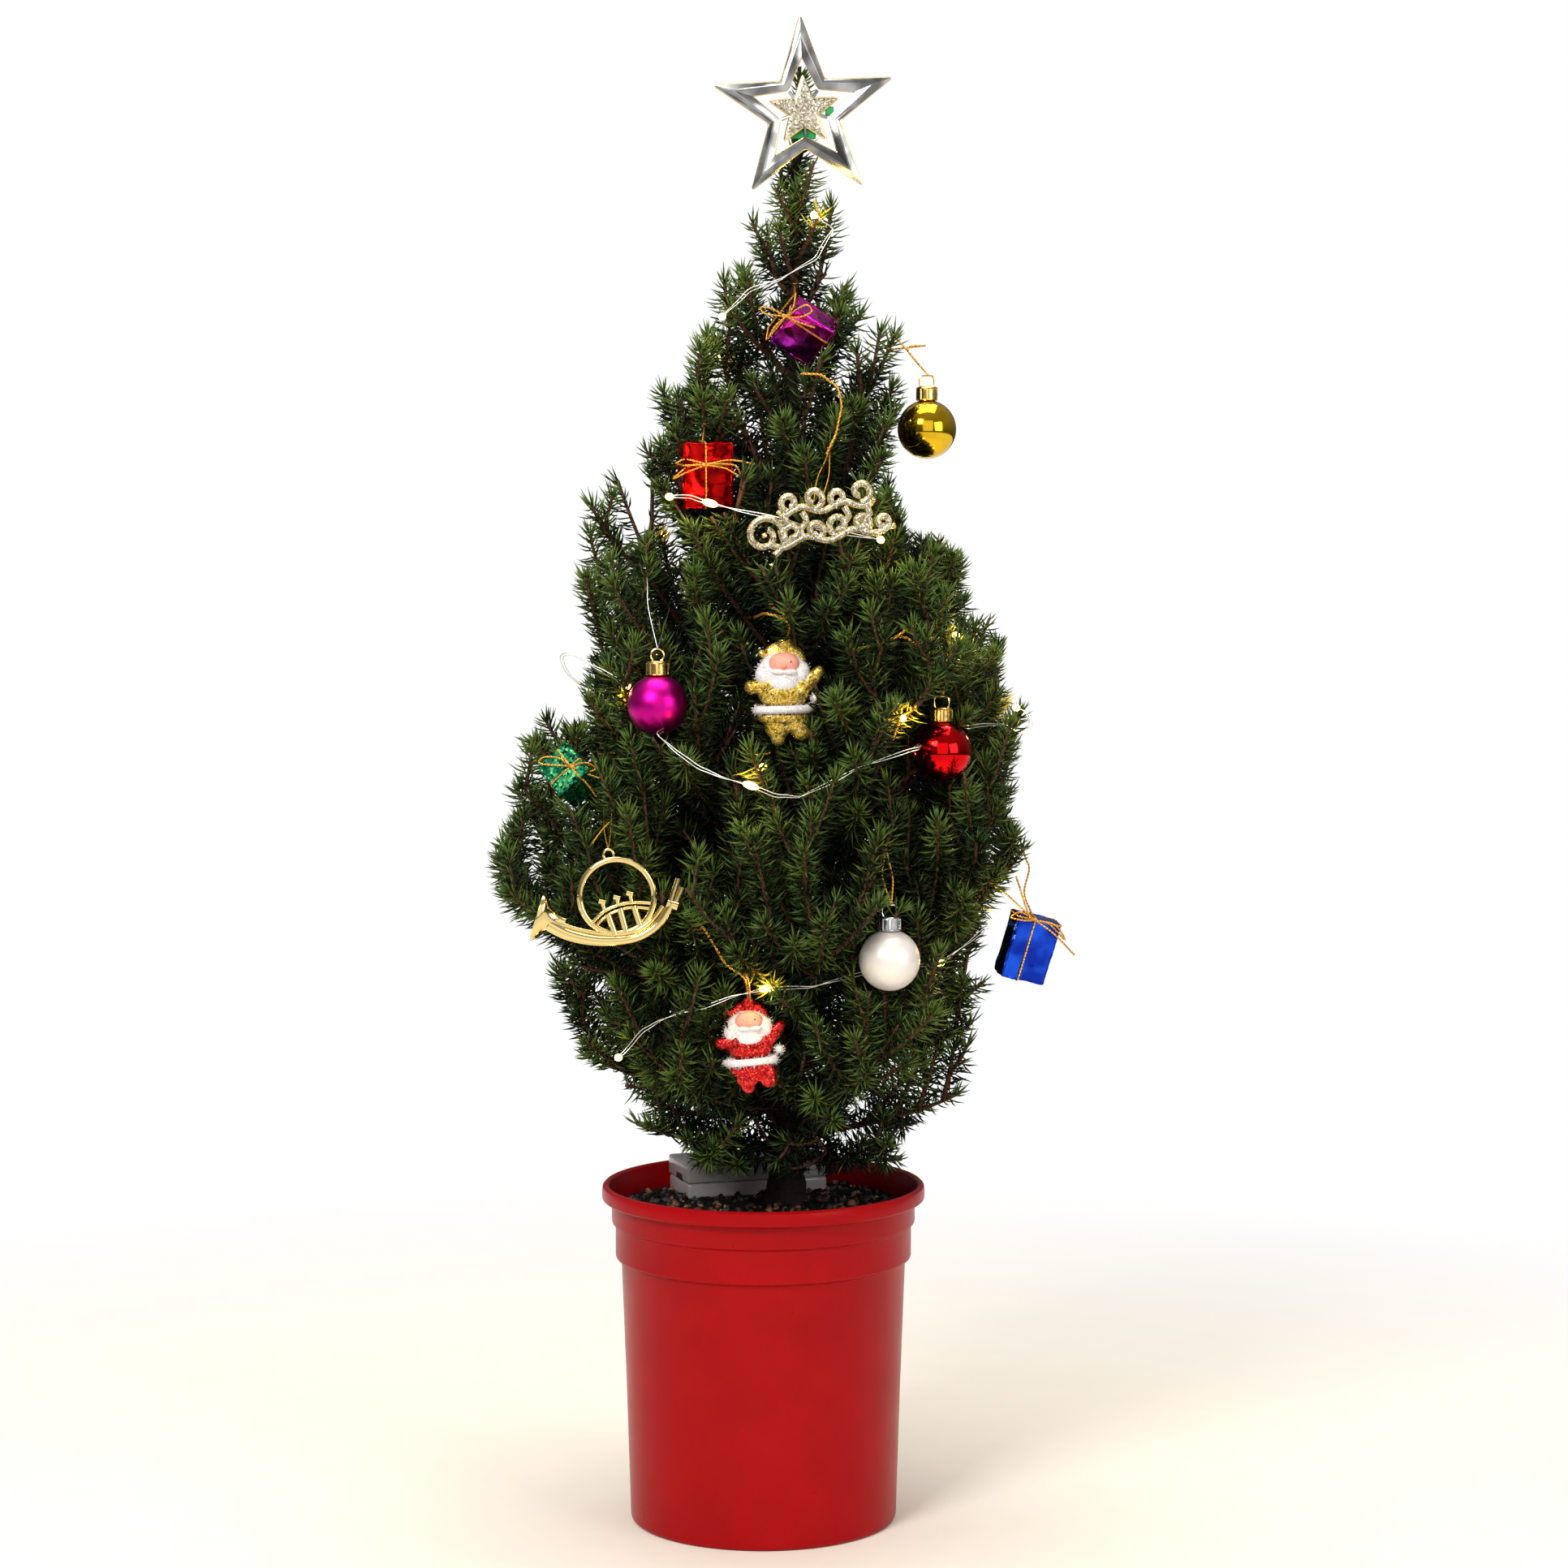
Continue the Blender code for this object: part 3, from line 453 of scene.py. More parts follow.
class Recipe:
    """A material with a Principled surface, and one way to add any other node to it."""

    def __init__(self, name, colour, roughness, **constants):
        self.material = bpy.data.materials.new(name)
        self.material.use_nodes = True
        self.material.diffuse_color = (*colour, 1)
        self.tree = self.material.node_tree
        self.surface = self.tree.nodes["Principled BSDF"]
        self.surface.inputs["Base Color"].default_value = (*colour, 1)
        self.surface.inputs["Roughness"].default_value = roughness
        for socket, value in constants.items():
            self.put(self.surface.inputs[socket.replace("_", " ")], value)

    def put(self, socket, value):
        """Links a level or socket to a socket, or sets a plain value on it."""
        if isinstance(value, Level):
            value = value.socket
        if isinstance(value, bpy.types.NodeSocket):
            self.tree.links.new(value, socket)
        elif socket.type == "RGBA" and len(value) == 3:
            socket.default_value = (*value, 1)
        else:
            socket.default_value = value

    def node(self, kind, settings=None, sockets=None):
        made = self.tree.nodes.new(kind)
        for name, value in (settings or {}).items():
            setattr(made, name, value)
        for name, value in (sockets or {}).items():
            self.put(made.inputs[name], value)
        return made

    def spot(self):
        """The point of the piece, in its own metres."""
        return self.node("ShaderNodeTexCoord").outputs["Object"]

    def noise(self, scale, detail=3.0, roughness=0.55):
        made = self.node(
            "ShaderNodeTexNoise", None,
            {"Vector": self.spot(), "Scale": scale, "Detail": detail, "Roughness": roughness},
        )
        return Level(self, made.outputs["Fac"])

    def cells(self, scale, output="Distance", feature="F1"):
        """A cell pattern: how far from a cell's middle, or a chance number for each cell."""
        made = self.node(
            "ShaderNodeTexVoronoi", {"feature": feature}, {"Vector": self.spot(), "Scale": scale}
        )
        if output == "Distance":
            return Level(self, made.outputs["Distance"])
        parts = self.node("ShaderNodeSeparateColor", None, {"Color": made.outputs["Color"]})
        return Level(self, parts.outputs[output])

    def between(self, level, low, high):
        """Level stretched so that low becomes 0 and high becomes 1."""
        made = self.node(
            "ShaderNodeMapRange", None, {"Value": level, "From Min": low, "From Max": high}
        )
        return Level(self, made.outputs["Result"])

    def blend(self, share, first, second):
        made = self.node("ShaderNodeMix", {"data_type": "RGBA"}, {0: share, 6: first, 7: second})
        return made.outputs[2]

    def paint(self, colour):
        self.put(self.surface.inputs["Base Color"], colour)

    def rough(self, level):
        self.put(self.surface.inputs["Roughness"], level)

    def relief(self, level, distance, strength=1.0):
        made = self.node(
            "ShaderNodeBump", None, {"Height": level, "Distance": distance, "Strength": strength}
        )
        self.put(self.surface.inputs["Normal"], made.outputs["Normal"])


def mottled(name, dark, light, roughness, scale, relief=0.0, **constants):
    """A finish whose colour wanders between two shades, with an even relief."""
    made = Recipe(name, light, roughness, **constants)
    patches = made.noise(scale, 4, 0.6)
    made.paint(made.blend(made.between(patches, 0.3, 0.7), dark, light))
    if relief:
        made.relief(patches, relief)
    return made


def glitter(name, dark, colour, light, size, depth=None):
    """Flakes that catch the light at many angles, with painted glints in the light colour and painted
    shade on darker flakes.
    """
    made = Recipe(name, colour, 0.25, Metallic=0.85)
    flake = made.cells(1 / size, "Red")
    other = made.cells(1 / size, "Green")
    # Darker flakes are painted shade; flakes in the light colour are painted glints.
    shade = made.blend(made.between(flake, 0.0, 0.7), dark, colour)
    made.paint(made.blend(made.between(other, 0.72, 0.95), shade, light))
    made.rough(flake * 0.35 + 0.12)
    made.relief(flake + other, depth or 0.5 * size)
    return made.material


def metal(name, colour, roughness, ripple=0.0):
    """Bright plating, with a slight ripple and some wear in its gloss."""
    made = Recipe(name, colour, roughness, Metallic=1.0)
    made.rough(made.noise(300, 2) * 0.16 + (roughness - 0.05))
    if ripple:
        made.relief(made.noise(40, 1), ripple)
    return made.material


@lru_cache(maxsize=None)
def gold_cord():
    made = Recipe("Gold cord", (0.62, 0.28, 0.03), 0.30, Metallic=0.75)
    strands = made.noise(1500, 2)
    made.paint(made.blend(made.between(strands, 0.35, 0.65), (0.34, 0.11, 0.006), (0.90, 0.50, 0.07)))
    return made.material


def deselect():
    if bpy.context.mode != "OBJECT":
        bpy.ops.object.mode_set(mode="OBJECT")
    bpy.ops.object.select_all(action="DESELECT")


def make_active(piece):
    deselect()
    piece.select_set(True)
    bpy.context.view_layer.objects.active = piece


def picked(piece, kind, test):
    """Selects the vertices, edges or polygons that pass a test, and starts edit mode."""
    make_active(piece)
    mesh = piece.data
    modes = ("vertices", "edges", "polygons")
    bpy.context.tool_settings.mesh_select_mode = [kind == mode for mode in modes]
    for mode in modes:
        group = getattr(mesh, mode)
        group.foreach_set("select", np.zeros(len(group), bool))
    for item in getattr(mesh, kind):
        item.select = bool(test(item))
    bpy.ops.object.mode_set(mode="EDIT")


def modified(piece, kind, **settings):
    """Adds a modifier with its settings and applies it."""
    make_active(piece)
    added = piece.modifiers.new(kind.title(), kind)
    for name, value in settings.items():
        setattr(added, name, value)
    bpy.ops.object.modifier_apply(modifier=added.name)


def settled(piece, name, finish=None, replaces=(), smooth=35):
    """Puts the piece's place into its mesh, names and paints it, and lets it ride with the tree."""
    make_active(piece)
    bpy.ops.object.transform_apply(location=True, rotation=True, scale=True)
    if smooth:
        bpy.ops.object.shade_smooth_by_angle(angle=math.radians(smooth))
    piece.name = name
    piece.data.name = name
    if finish:
        piece.data.materials.clear()
        piece.data.materials.append(finish)
    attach(piece, "root")
    if replaces:
        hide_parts(*replaces)
    return piece


def joined(pieces):
    """One piece of several, each with its own material kept."""
    make_active(pieces[0])
    for piece in pieces:
        piece.select_set(True)
    bpy.ops.object.join()
    return bpy.context.view_layer.objects.active


def turned(profile, sides, axis=None, place=(0, 0, 0)):
    """A ring extruded and resized through the profile's (radius, height) steps, closed at its ends."""
    radius, height = profile[0]
    tiny = 1e-6
    deselect()
    bpy.ops.mesh.primitive_circle_add(
        vertices=sides, radius=max(radius, tiny), location=(0, 0, height)
    )
    piece = bpy.context.object
    bpy.ops.object.mode_set(mode="EDIT")
    bpy.ops.mesh.select_all(action="SELECT")
    for (before, low), (after, high) in zip(profile, profile[1:]):
        share = max(after, tiny) / max(before, tiny)
        bpy.ops.mesh.extrude_edges_move(TRANSFORM_OT_translate={"value": (0, 0, high - low)})
        bpy.ops.transform.resize(value=(share, share, 1))
    bpy.ops.mesh.select_all(action="SELECT")
    bpy.ops.mesh.remove_doubles(threshold=5e-6)
    bpy.ops.mesh.normals_make_consistent(inside=False)
    bpy.ops.object.mode_set(mode="OBJECT")
    bpy.ops.object.transform_apply(location=True)
    if axis is not None:
        piece.rotation_mode = "QUATERNION"
        piece.rotation_quaternion = UP.rotation_difference(Vector(axis).normalized())
    piece.location = place
    bpy.ops.object.transform_apply(location=True, rotation=True)
    return piece


def ball(radius, place, steps=32, shape=(1, 1, 1)):
    deselect()
    bpy.ops.mesh.primitive_uv_sphere_add(segments=steps, ring_count=steps * 2 // 3, radius=radius)
    made = bpy.context.object
    made.scale = shape
    made.location = place
    bpy.ops.object.transform_apply(location=True, scale=True)
    return made


def block(size, place, bevel, segments=3):
    """A box with rounded edges."""
    deselect()
    bpy.ops.mesh.primitive_cube_add(size=1)
    made = bpy.context.object
    made.scale = size
    made.location = place
    bpy.ops.object.transform_apply(location=True, scale=True)
    modified(made, "BEVEL", width=bevel, segments=segments)
    return made


def mesh_of(name, points, loops, sides):
    """A mesh of many like faces, from arrays of points and of corners."""
    mesh = bpy.data.meshes.new(name)
    mesh.vertices.add(len(points))
    mesh.vertices.foreach_set("co", np.asarray(points, np.float32).ravel())
    mesh.loops.add(len(loops))
    mesh.loops.foreach_set("vertex_index", np.asarray(loops, np.int32))
    count = len(loops) // sides
    mesh.polygons.add(count)
    mesh.polygons.foreach_set("loop_start", np.arange(count, dtype=np.int32) * sides)
    mesh.polygons.foreach_set("use_smooth", np.ones(count, bool))
    mesh.update(calc_edges=True)
    mesh.validate()
    made = bpy.data.objects.new(name, mesh)
    bpy.context.scene.collection.objects.link(made)
    return made


def frames_along(points):
    """The tangent and two cross directions at each point of a path, turned as little as possible."""
    tangents = []
    for index in range(len(points)):
        before = points[max(index - 1, 0)]
        after = points[min(index + 1, len(points) - 1)]
        tangents.append((after - before).normalized())
    across = tangents[0].orthogonal().normalized()
    frames = []
    for index, tangent in enumerate(tangents):
        if index:
            across = tangents[index - 1].rotation_difference(tangent) @ across
        frames.append((tangent, across, tangent.cross(across)))
    return frames


def ring(centre, across, along, radius, sides, turn=0.0):
    return [
        centre
        + across * (radius * math.cos(turn + math.tau * side / sides))
        + along * (radius * math.sin(turn + math.tau * side / sides))
        for side in range(sides)
    ]


def rings_mesh(name, tubes_of_rings):
    """One mesh of closed tubes, each through rings of equal counts."""
    points = []
    loops = []
    for rings in tubes_of_rings:
        first = len(points)
        sides = len(rings[0])
        for one in rings:
            points += one
        for step in range(len(rings) - 1):
            for side in range(sides):
                beside = (side + 1) % sides
                low = first + step * sides
                high = low + sides
                loops += [low + side, low + beside, high + beside]
                loops += [low + side, high + beside, high + side]
        for start, turn in ((first, -1), (first + (len(rings) - 1) * sides, 1)):
            for side in range(1, sides - 1):
                loops += [start, start + side, start + side + 1][::turn]
    return mesh_of(name, points, loops, 3)


def tubes(name, paths, radii, sides):
    """Closed tubes along the paths, with a radius for all, for each path or for each point."""
    made = []
    for index, path in enumerate(paths):
        widths = radii if isinstance(radii, float) else radii[index]
        if isinstance(widths, float):
            widths = [widths] * len(path)
        frames = frames_along(path)
        made.append(
            [ring(p, f[1], f[2], width, sides) for p, f, width in zip(path, frames, widths)]
        )
    return rings_mesh(name, made)


def flat_strokes(name, paths, half_width, half_depth, sides=8):
    """Flattened strokes that lie in an upright plane, like strips cut from a sheet."""
    made = []
    for path in paths:
        rings = []
        for point, (tangent, _, _) in zip(path, frames_along(path)):
            beside = tangent.cross(FRONT).normalized()
            rings.append([
                point
                + beside * (half_width * math.cos(math.tau * side / sides))
                + FRONT * (half_depth * math.sin(math.tau * side / sides))
                for side in range(sides)
            ])
        made.append(rings)
    return rings_mesh(name, made)


def outwards(piece):
    """Turns every face of closed shapes to the outside."""
    picked(piece, "polygons", lambda face: True)
    bpy.ops.mesh.normals_make_consistent(inside=False)
    bpy.ops.object.mode_set(mode="OBJECT")
    return piece


def resampled(path, step):
    """Points a step apart along a path, its ends included."""
    lengths = [0.0]
    for before, after in zip(path, path[1:]):
        lengths.append(lengths[-1] + (after - before).length)
    count = max(2, round(lengths[-1] / step))
    made = []
    index = 0
    for number in range(count + 1):
        want = lengths[-1] * number / count
        while index < len(path) - 2 and lengths[index + 1] < want:
            index += 1
        share = (want - lengths[index]) / max(lengths[index + 1] - lengths[index], 1e-9)
        made.append(path[index].lerp(path[index + 1], share))
    return made


def through(points, count=8):
    """A smooth path through the points, count steps from each to the next."""
    ends = [points[0] * 2 - points[1], *points, points[-1] * 2 - points[-2]]
    made = []
    for index in range(1, len(ends) - 2):
        a, b, c, d = ends[index - 1:index + 3]
        for step in range(count):
            s = step / count
            made.append(
                (b * 2 + (c - a) * s + (a * 2 - b * 5 + c * 4 - d) * s**2
                 + (b * 3 - a - c * 3 + d) * s**3) / 2
            )
    made.append(points[-1])
    return made


def drawn(spots, depth, count=8):
    """A smooth path through pixels of the photograph, at one depth or from one to another."""
    begin, end = depth if isinstance(depth, tuple) else (depth, depth)
    last = max(len(spots) - 1, 1)
    return through(
        [seen_at(*spot, begin + (end - begin) * n / last) for n, spot in enumerate(spots)], count
    )


def twisted(name, paths, radius, finish, sides=5):
    """Cords of two strands that are wound round each other."""
    strands = []
    for path in paths:
        fine = resampled(path, 1.1 * radius)
        frames = frames_along(fine)
        for side in (0, math.pi):
            strands.append([
                point
                + across * (0.5 * radius * math.cos(side + step * math.tau / 6))
                + beside * (0.5 * radius * math.sin(side + step * math.tau / 6))
                for step, (point, (_, across, beside)) in enumerate(zip(fine, frames))
            ])
    return settled(tubes(name, strands, 0.58 * radius, sides), name, finish, smooth=0)


def trunk_at(height):
    """The middle of the trunk at a height, with its lean and a slight sway."""
    share = (height - SOIL_TOP) / (TRUNK_TIP - SOIL_TOP)
    sway = TRUNK_SWAY * math.sin(math.tau * share)
    return Vector((TRUNK_FOOT[0] + TRUNK_LEAN * share + sway, TRUNK_FOOT[1] - sway, height))


def trunk_radius(height):
    share = max(0.0, (height - SOIL_TOP) / (TRUNK_TIP - SOIL_TOP))
    return TIP_RADIUS + (TRUNK_RADIUS - TIP_RADIUS) * (1 - share) ** TRUNK_TAPER


class Limb:
    """One bough with its mass of needles, or a mass that forks from the trunk."""

    def __init__(self, index, name, bearing, fork, reach, tip, shoots, has_bough):
        self.index = index
        self.name = name
        self.shoots = shoots
        self.has_bough = has_bough
        angle = math.radians(bearing)
        outward = Vector((math.cos(angle), math.sin(angle), 0))
        rise = tip - fork
        self.start = trunk_at(fork)
        self.bend = self.start + outward * (BEND_OUT * reach) + UP * (BEND_UP * rise)
        self.end = self.start + outward * (reach - END_SHY) + UP * (rise - END_SHY)

    def at(self, share):
        """A point of the limb's curve, from the middle of the trunk at 0 to the needles' tip at 1."""
        rest = 1 - share
        return self.start * rest**2 + self.bend * (2 * rest * share) + self.end * share**2

    def first(self):
        """The share of the curve at which the mass starts."""
        return BARE_SHARE if self.has_bough else 0.0

    def path(self, begin, end, count):
        return [self.at(begin + (end - begin) * index / count) for index in range(count + 1)]

    def length(self):
        points = self.path(self.first(), 1.0, 12)
        return sum((after - before).length for before, after in zip(points, points[1:]))


def all_limbs():
    rows = []
    for tier, sizes in BOUGH_TIERS.items():
        rows += [(f"{tier}_{n}", *size, BOUGH_SHOOTS, True) for n, size in enumerate(sizes, 1)]
    for tier, sizes in TRUNK_TIERS.items():
        rows += [(f"{tier}_{n}", *size, False) for n, size in enumerate(sizes, 1)]
    return [Limb(index, *row) for index, row in enumerate(rows)]


def bough_radius(share):
    return BOUGH_RADIUS + (BOUGH_TIP_RADIUS - BOUGH_RADIUS) * share


class Segments:
    """Straight stretches with an owner and a radius, and how far a point is from each of them."""

    def __init__(self):
        self.rows = []

    def add(self, points, owner, radii=None):
        radii = radii or [0.0] * len(points)
        for index in range(len(points) - 1):
            pair = (*points[index], *points[index + 1])
            self.rows.append((*pair, owner, radii[index], radii[index + 1]))

    def close(self):
        table = np.array(self.rows)
        self.begin = table[:, :3]
        self.run = table[:, 3:6] - self.begin
        self.square = np.maximum((self.run**2).sum(axis=1), 1e-12)
        self.owner = table[:, 6].astype(int)
        self.radius = table[:, 7:9]

    def distances(self, point):
        """From a point to the surface of each stretch."""
        away = np.array(point) - self.begin
        share = np.clip((away * self.run).sum(axis=1) / self.square, 0, 1)
        gap = np.linalg.norm(away - self.run * share[:, None], axis=1)
        return gap - self.radius[:, 0] * (1 - share) - self.radius[:, 1] * share


def in_star_outline(offset):
    """Whether an offset from the star's middle lies within its outline, seen from the front."""
    turn = (math.atan2(offset.z, offset.x) - STAR_TURN - math.pi / 2) % (math.tau / 5)
    turn = min(turn, math.tau / 5 - turn)
    half = math.pi / 5
    point, notch = STAR_RADIUS, STAR_RADIUS * STAR_NOTCH
    edge = point * notch * math.sin(half)
    edge /= point * math.sin(turn) + notch * math.sin(half - turn)
    return math.hypot(offset.x, offset.z) < edge + STAR_MARGIN


class Space:
    """Says whether a point lies in a mass's own space, clear of the limbs, the pot and the star."""

    def __init__(self, limbs):
        self.stems = Segments()
        self.woods = Segments()
        for limb in limbs:
            self.stems.add(limb.path(limb.first(), 1.0, 7), limb.index)
            if limb.has_bough:
                points = limb.path(0.0, BARE_SHARE, 3)
                self.woods.add(points, limb.index, [bough_radius(s / 3) for s in range(4)])
        heights = [SOIL_TOP + (TRUNK_TIP - SOIL_TOP) * s / 20 for s in range(21)]
        trunk = [trunk_at(height) for height in heights]
        self.woods.add(trunk, -1, [trunk_radius(height) for height in heights])
        clip = [trunk_at(height) for height in CLIP_ENDS]
        self.woods.add(clip, -1, [CLIP_RADIUS, CLIP_RADIUS])
        web_end = clip[0].lerp(clip[1], 0.5)
        web = [web_end, Vector((web_end.x, STAR_CENTRE.y, web_end.z))]
        self.woods.add(web, -1, [CLIP_RADIUS / 2, CLIP_RADIUS / 2])
        self.stems.close()
        self.woods.close()

    def free(self, point, index):
        if point.z < LOWEST_NEEDLE:
            return False
        gaps = self.stems.distances(point)
        mine = self.stems.owner == index
        if gaps[mine].min() + SPACE_MARGIN >= gaps[~mine].min():
            return False
        from_star = point - STAR_CENTRE
        if abs(from_star.y) < STAR_THICK / 2 + STAR_MARGIN and in_star_outline(from_star):
            return False
        return self.woods.distances(point).min() > LIMB_MARGIN


def stem_of(limb):
    """The points of a mass's own stem, a clearance past its bough's end or from inside the trunk."""
    count = max(3, round(limb.length() / SEGMENT))
    points = limb.path(limb.first(), 1.0, count)
    if limb.has_bough:
        ahead = (limb.at(limb.first() + 0.01) - points[0]).normalized()
        points[0] = points[0] + ahead * CLEARANCE
    return points


def off_paths(point, paths, margin):
    for path in paths:
        for begin, end in zip(path, path[1:]):
            run = end - begin
            share = min(1.0, max(0.0, (point - begin).dot(run) / run.length_squared))
            if (point - begin - run * share).length <= margin:
                return False
    return True


OUTLINE_HEIGHTS, *OUTLINE_REACHES = (np.array(column) for column in zip(*OUTLINE))


def crown_share(point):
    """How far out a point lies, from 0 at the trunk to 1 at the crown's outline."""
    left, right, front = (np.interp(point.z, OUTLINE_HEIGHTS, side) for side in OUTLINE_REACHES)
    away = point - trunk_at(point.z)
    return math.hypot(away.x / (left if away.x < 0 else right), away.y / front)


def trimmed(path, space, index, others):
    """The path up to where its shoot would leave the crown or the mass's space, or near another."""
    last = len(path) - 1
    for step, (_, across, beside) in enumerate(frames_along(path)):
        if not step:
            continue
        if crown_share(path[step]) >= 1:
            return path[:step]
        width = SHOOT_RADIUS * (1 - (1 - SHOOT_TIP) * step / last)
        corners = ring(path[step], across, beside, width, 3, step * TWIST)
        if not all(space.free(corner, index) for corner in corners):
            return path[:step]
        if step > 1 and not off_paths(path[step], others, SHOOTS_APART):
            return path[:step]
    return path


def side_shoots_of(limb, stem, space):
    """Side shoots along the stem, each at the turn that leaves it the most room, curling upwards."""
    dice = random.Random(FIRST_SEED + 1 + limb.index)
    frames = frames_along(stem)
    phase = dice.uniform(0, math.tau)
    first = FIRST_SHOOT if limb.has_bough else FIRST_ON_TRUNK
    paths = []
    for number in range(limb.shoots):
        share = first + (LAST_SHOOT - first) * (number + 0.5) / limb.shoots
        place = share * (len(stem) - 1)
        index = int(place)
        base = stem[index].lerp(stem[index + 1], place - index)
        tangent, across, beside = frames[index]
        length = limb.length() * (LENGTH_AT_ROOT - LENGTH_FALL * share) * dice.uniform(0.88, 1.1)
        count = max(2, round(length / SEGMENT))
        best = []
        for again in range(TURNS_TRIED):
            turn = phase + number * GOLDEN_TURN + again * math.tau / TURNS_TRIED
            out = across * math.cos(turn) + beside * math.sin(turn)
            heading = tangent * math.cos(SPREAD) + out * math.sin(SPREAD) + UP * LIFT
            heading.normalize()
            path = []
            for step in range(count + 1):
                reach = step / count
                rise = CURL * length * reach**2
                path.append(base + heading * (length * reach) + UP * rise)
            path = trimmed(path, space, limb.index, [stem] + paths)
            if len(path) > len(best):
                best = path
        if len(best) > SHORTEST_SHOOT:
            paths.append(best)
    return paths


class Thicket:
    """Where twigs already run, kept in cells, so that a new twig finds how near the others are."""

    def __init__(self, cell):
        self.cell = cell
        self.cells = {}

    def key(self, point):
        return tuple(int(math.floor(value / self.cell)) for value in point)

    def add(self, path, owner):
        for point in path:
            self.cells.setdefault(self.key(point), []).append((point, owner))

    def crowded(self, point, parent, distance):
        x, y, z = self.key(point)
        for i in (x - 1, x, x + 1):
            for j in (y - 1, y, y + 1):
                for k in (z - 1, z, z + 1):
                    for other, owner in self.cells.get((i, j, k), ()):
                        if owner != parent and (other - point).length < distance:
                            return True
        return False


class Room:
    """Places kept free for the ornaments: balls of room, and the view of them from the front."""

    def __init__(self, balls):
        self.centres = np.array([tuple(centre) for centre, _ in balls])
        self.radii = np.array([radius for _, radius in balls])
        self.spots = shown_at(self.centres)
        self.reaches = 0.92 * self.radii * FOCAL / (self.centres[:, 1] - CAMERA_PLACE.y)
        self.reaches[self.centres[:, 1] > 0.01] = 0

    def holds(self, points):
        """Which of the points lie in the room, or hide it from the camera."""
        points = np.asarray(points, float)
        held = []
        for part in np.array_split(points, len(points) // 2000 + 1):
            away = part[:, None] - self.centres[None]
            inside = (away**2).sum(axis=2) < self.radii**2
            aside = shown_at(part)[:, None] - self.spots[None]
            before = ((aside**2).sum(axis=2) < self.reaches**2) & (away[:, :, 1] < 0)
            held.append((inside | before).any(axis=1))
        return np.concatenate(held)


class Skyline:
    """How far inside the crown's outline against the sky each pixel lies."""

    def __init__(self):
        self.across, self.down = np.meshgrid(np.arange(560, 1340, 4), np.arange(40, 1480, 4))
        inside = np.zeros(self.across.shape, bool)
        near = np.full(self.across.shape, 1e9)
        for (x, y), (x1, y1) in zip(SKYLINE, SKYLINE[1:] + SKYLINE[:1]):
            away, below = self.across - x, self.down - y
            run, fall = x1 - x, y1 - y
            share = np.clip((away * run + below * fall) / (run**2 + fall**2), 0, 1)
            near = np.minimum(near, np.hypot(away - share * run, below - share * fall))
            if fall:
                crossed = (below < 0) != (self.down < y1)
                inside ^= crossed & (away < below * run / fall)
        self.inset = np.where(inside, near, -near)
        for x, y, radius in SKY_GAPS:
            gap = np.hypot(self.across - x, self.down - y) - radius + 4
            self.inset = np.minimum(self.inset, gap)

    def within(self, points, inset):
        across, down = shown_at(points).T
        rows = np.clip(((down - 38) / 4).astype(int), 0, self.inset.shape[0] - 1)
        columns = np.clip(((across - 558) / 4).astype(int), 0, self.inset.shape[1] - 1)
        return self.inset[rows, columns] > inset


@lru_cache(maxsize=1)
def skyline():
    return Skyline()


def grown_twigs(axes, thicket, room, size, gap, dice, first_owner, apart=TWIGS_APART):
    """Twigs along each axis at the golden turn, each shorter than what is left of its axis."""
    made = []
    for owner, axis, first in axes:
        frames = frames_along(axis)
        run = sum((after - before).length for before, after in zip(axis, axis[1:]))
        count = int(run * (1 - first) / gap)
        phase = dice.uniform(0, math.tau)
        for number in range(count):
            share = first + (1 - first) * (number + dice.uniform(0.1, 0.9)) / count
            full = min(size * dice.uniform(0.60, 1.15), TWIG_FALL * run * (1 - share) + TWIG_SPARE)
            if full < SHORTEST_TWIG:
                continue
            place = share * (len(axis) - 1)
            index = int(place)
            base = axis[index].lerp(axis[index + 1], place - index)
            tangent, across, beside = frames[index]
            best = []
            rise = TWIG_UP * dice.uniform(0.25, 1.45)
            if base.z < LOW_TWIGS:
                rise = dice.uniform(-0.9, 0.1)
            for again in range(3):
                turn = phase + number * GOLDEN_TURN + again * math.tau / 3
                out = across * math.cos(turn) + beside * math.sin(turn)
                heading = (tangent * TWIG_ALONG + out * TWIG_OUT + UP * rise).normalized()
                path = [base]
                for step in range(1, max(3, round(full / TWIG_STEP)) + 1):
                    reach = step * TWIG_STEP
                    point = base + heading * reach + UP * (TWIG_CURL * reach**2 / full)
                    share_out = crown_share(Vector((point.x, TWIG_BREADTH * point.y, point.z)))
                    if share_out >= TWIG_BREADTH or not LOWEST_NEEDLE < point.z < NEEDLES_TOP:
                        break
                    if reach > 0.011 and thicket.crowded(point, owner, apart):
                        break
                    path.append(point)
                if len(path) > len(best):
                    points = [tuple(point) for point in path]
                    held = ~skyline().within(points, TWIG_INSET)
                    held[0] = False
                    if room:
                        held |= room.holds(points)
                    if held.any():
                        path = path[:int(held.argmax())]
                if len(path) > len(best):
                    best = path
            if (len(best) - 1) * TWIG_STEP >= SHORTEST_TWIG:
                name = first_owner + len(made)
                thicket.add(best[2:], name)
                made.append((name, best, 0.22))
    return made


@lru_cache(maxsize=1)
def main_axes():
    """The stems, the shoots and the leader, as rows of level and path."""
    limbs = all_limbs()
    space = Space(limbs)
    rows = []
    for limb in limbs:
        begin = 0.0 if limb.has_bough else 0.05
        rows.append((0, resampled(limb.path(begin, 1.0, 24), TWIG_STEP)))
        for path in side_shoots_of(limb, stem_of(limb), space):
            rows.append((1, resampled(path, TWIG_STEP)))
    run = NEEDLES_TOP - LEADER_FOOT
    leader = [trunk_at(LEADER_FOOT + run * step / 40) for step in range(41)]
    return rows, resampled(leader, TWIG_STEP)


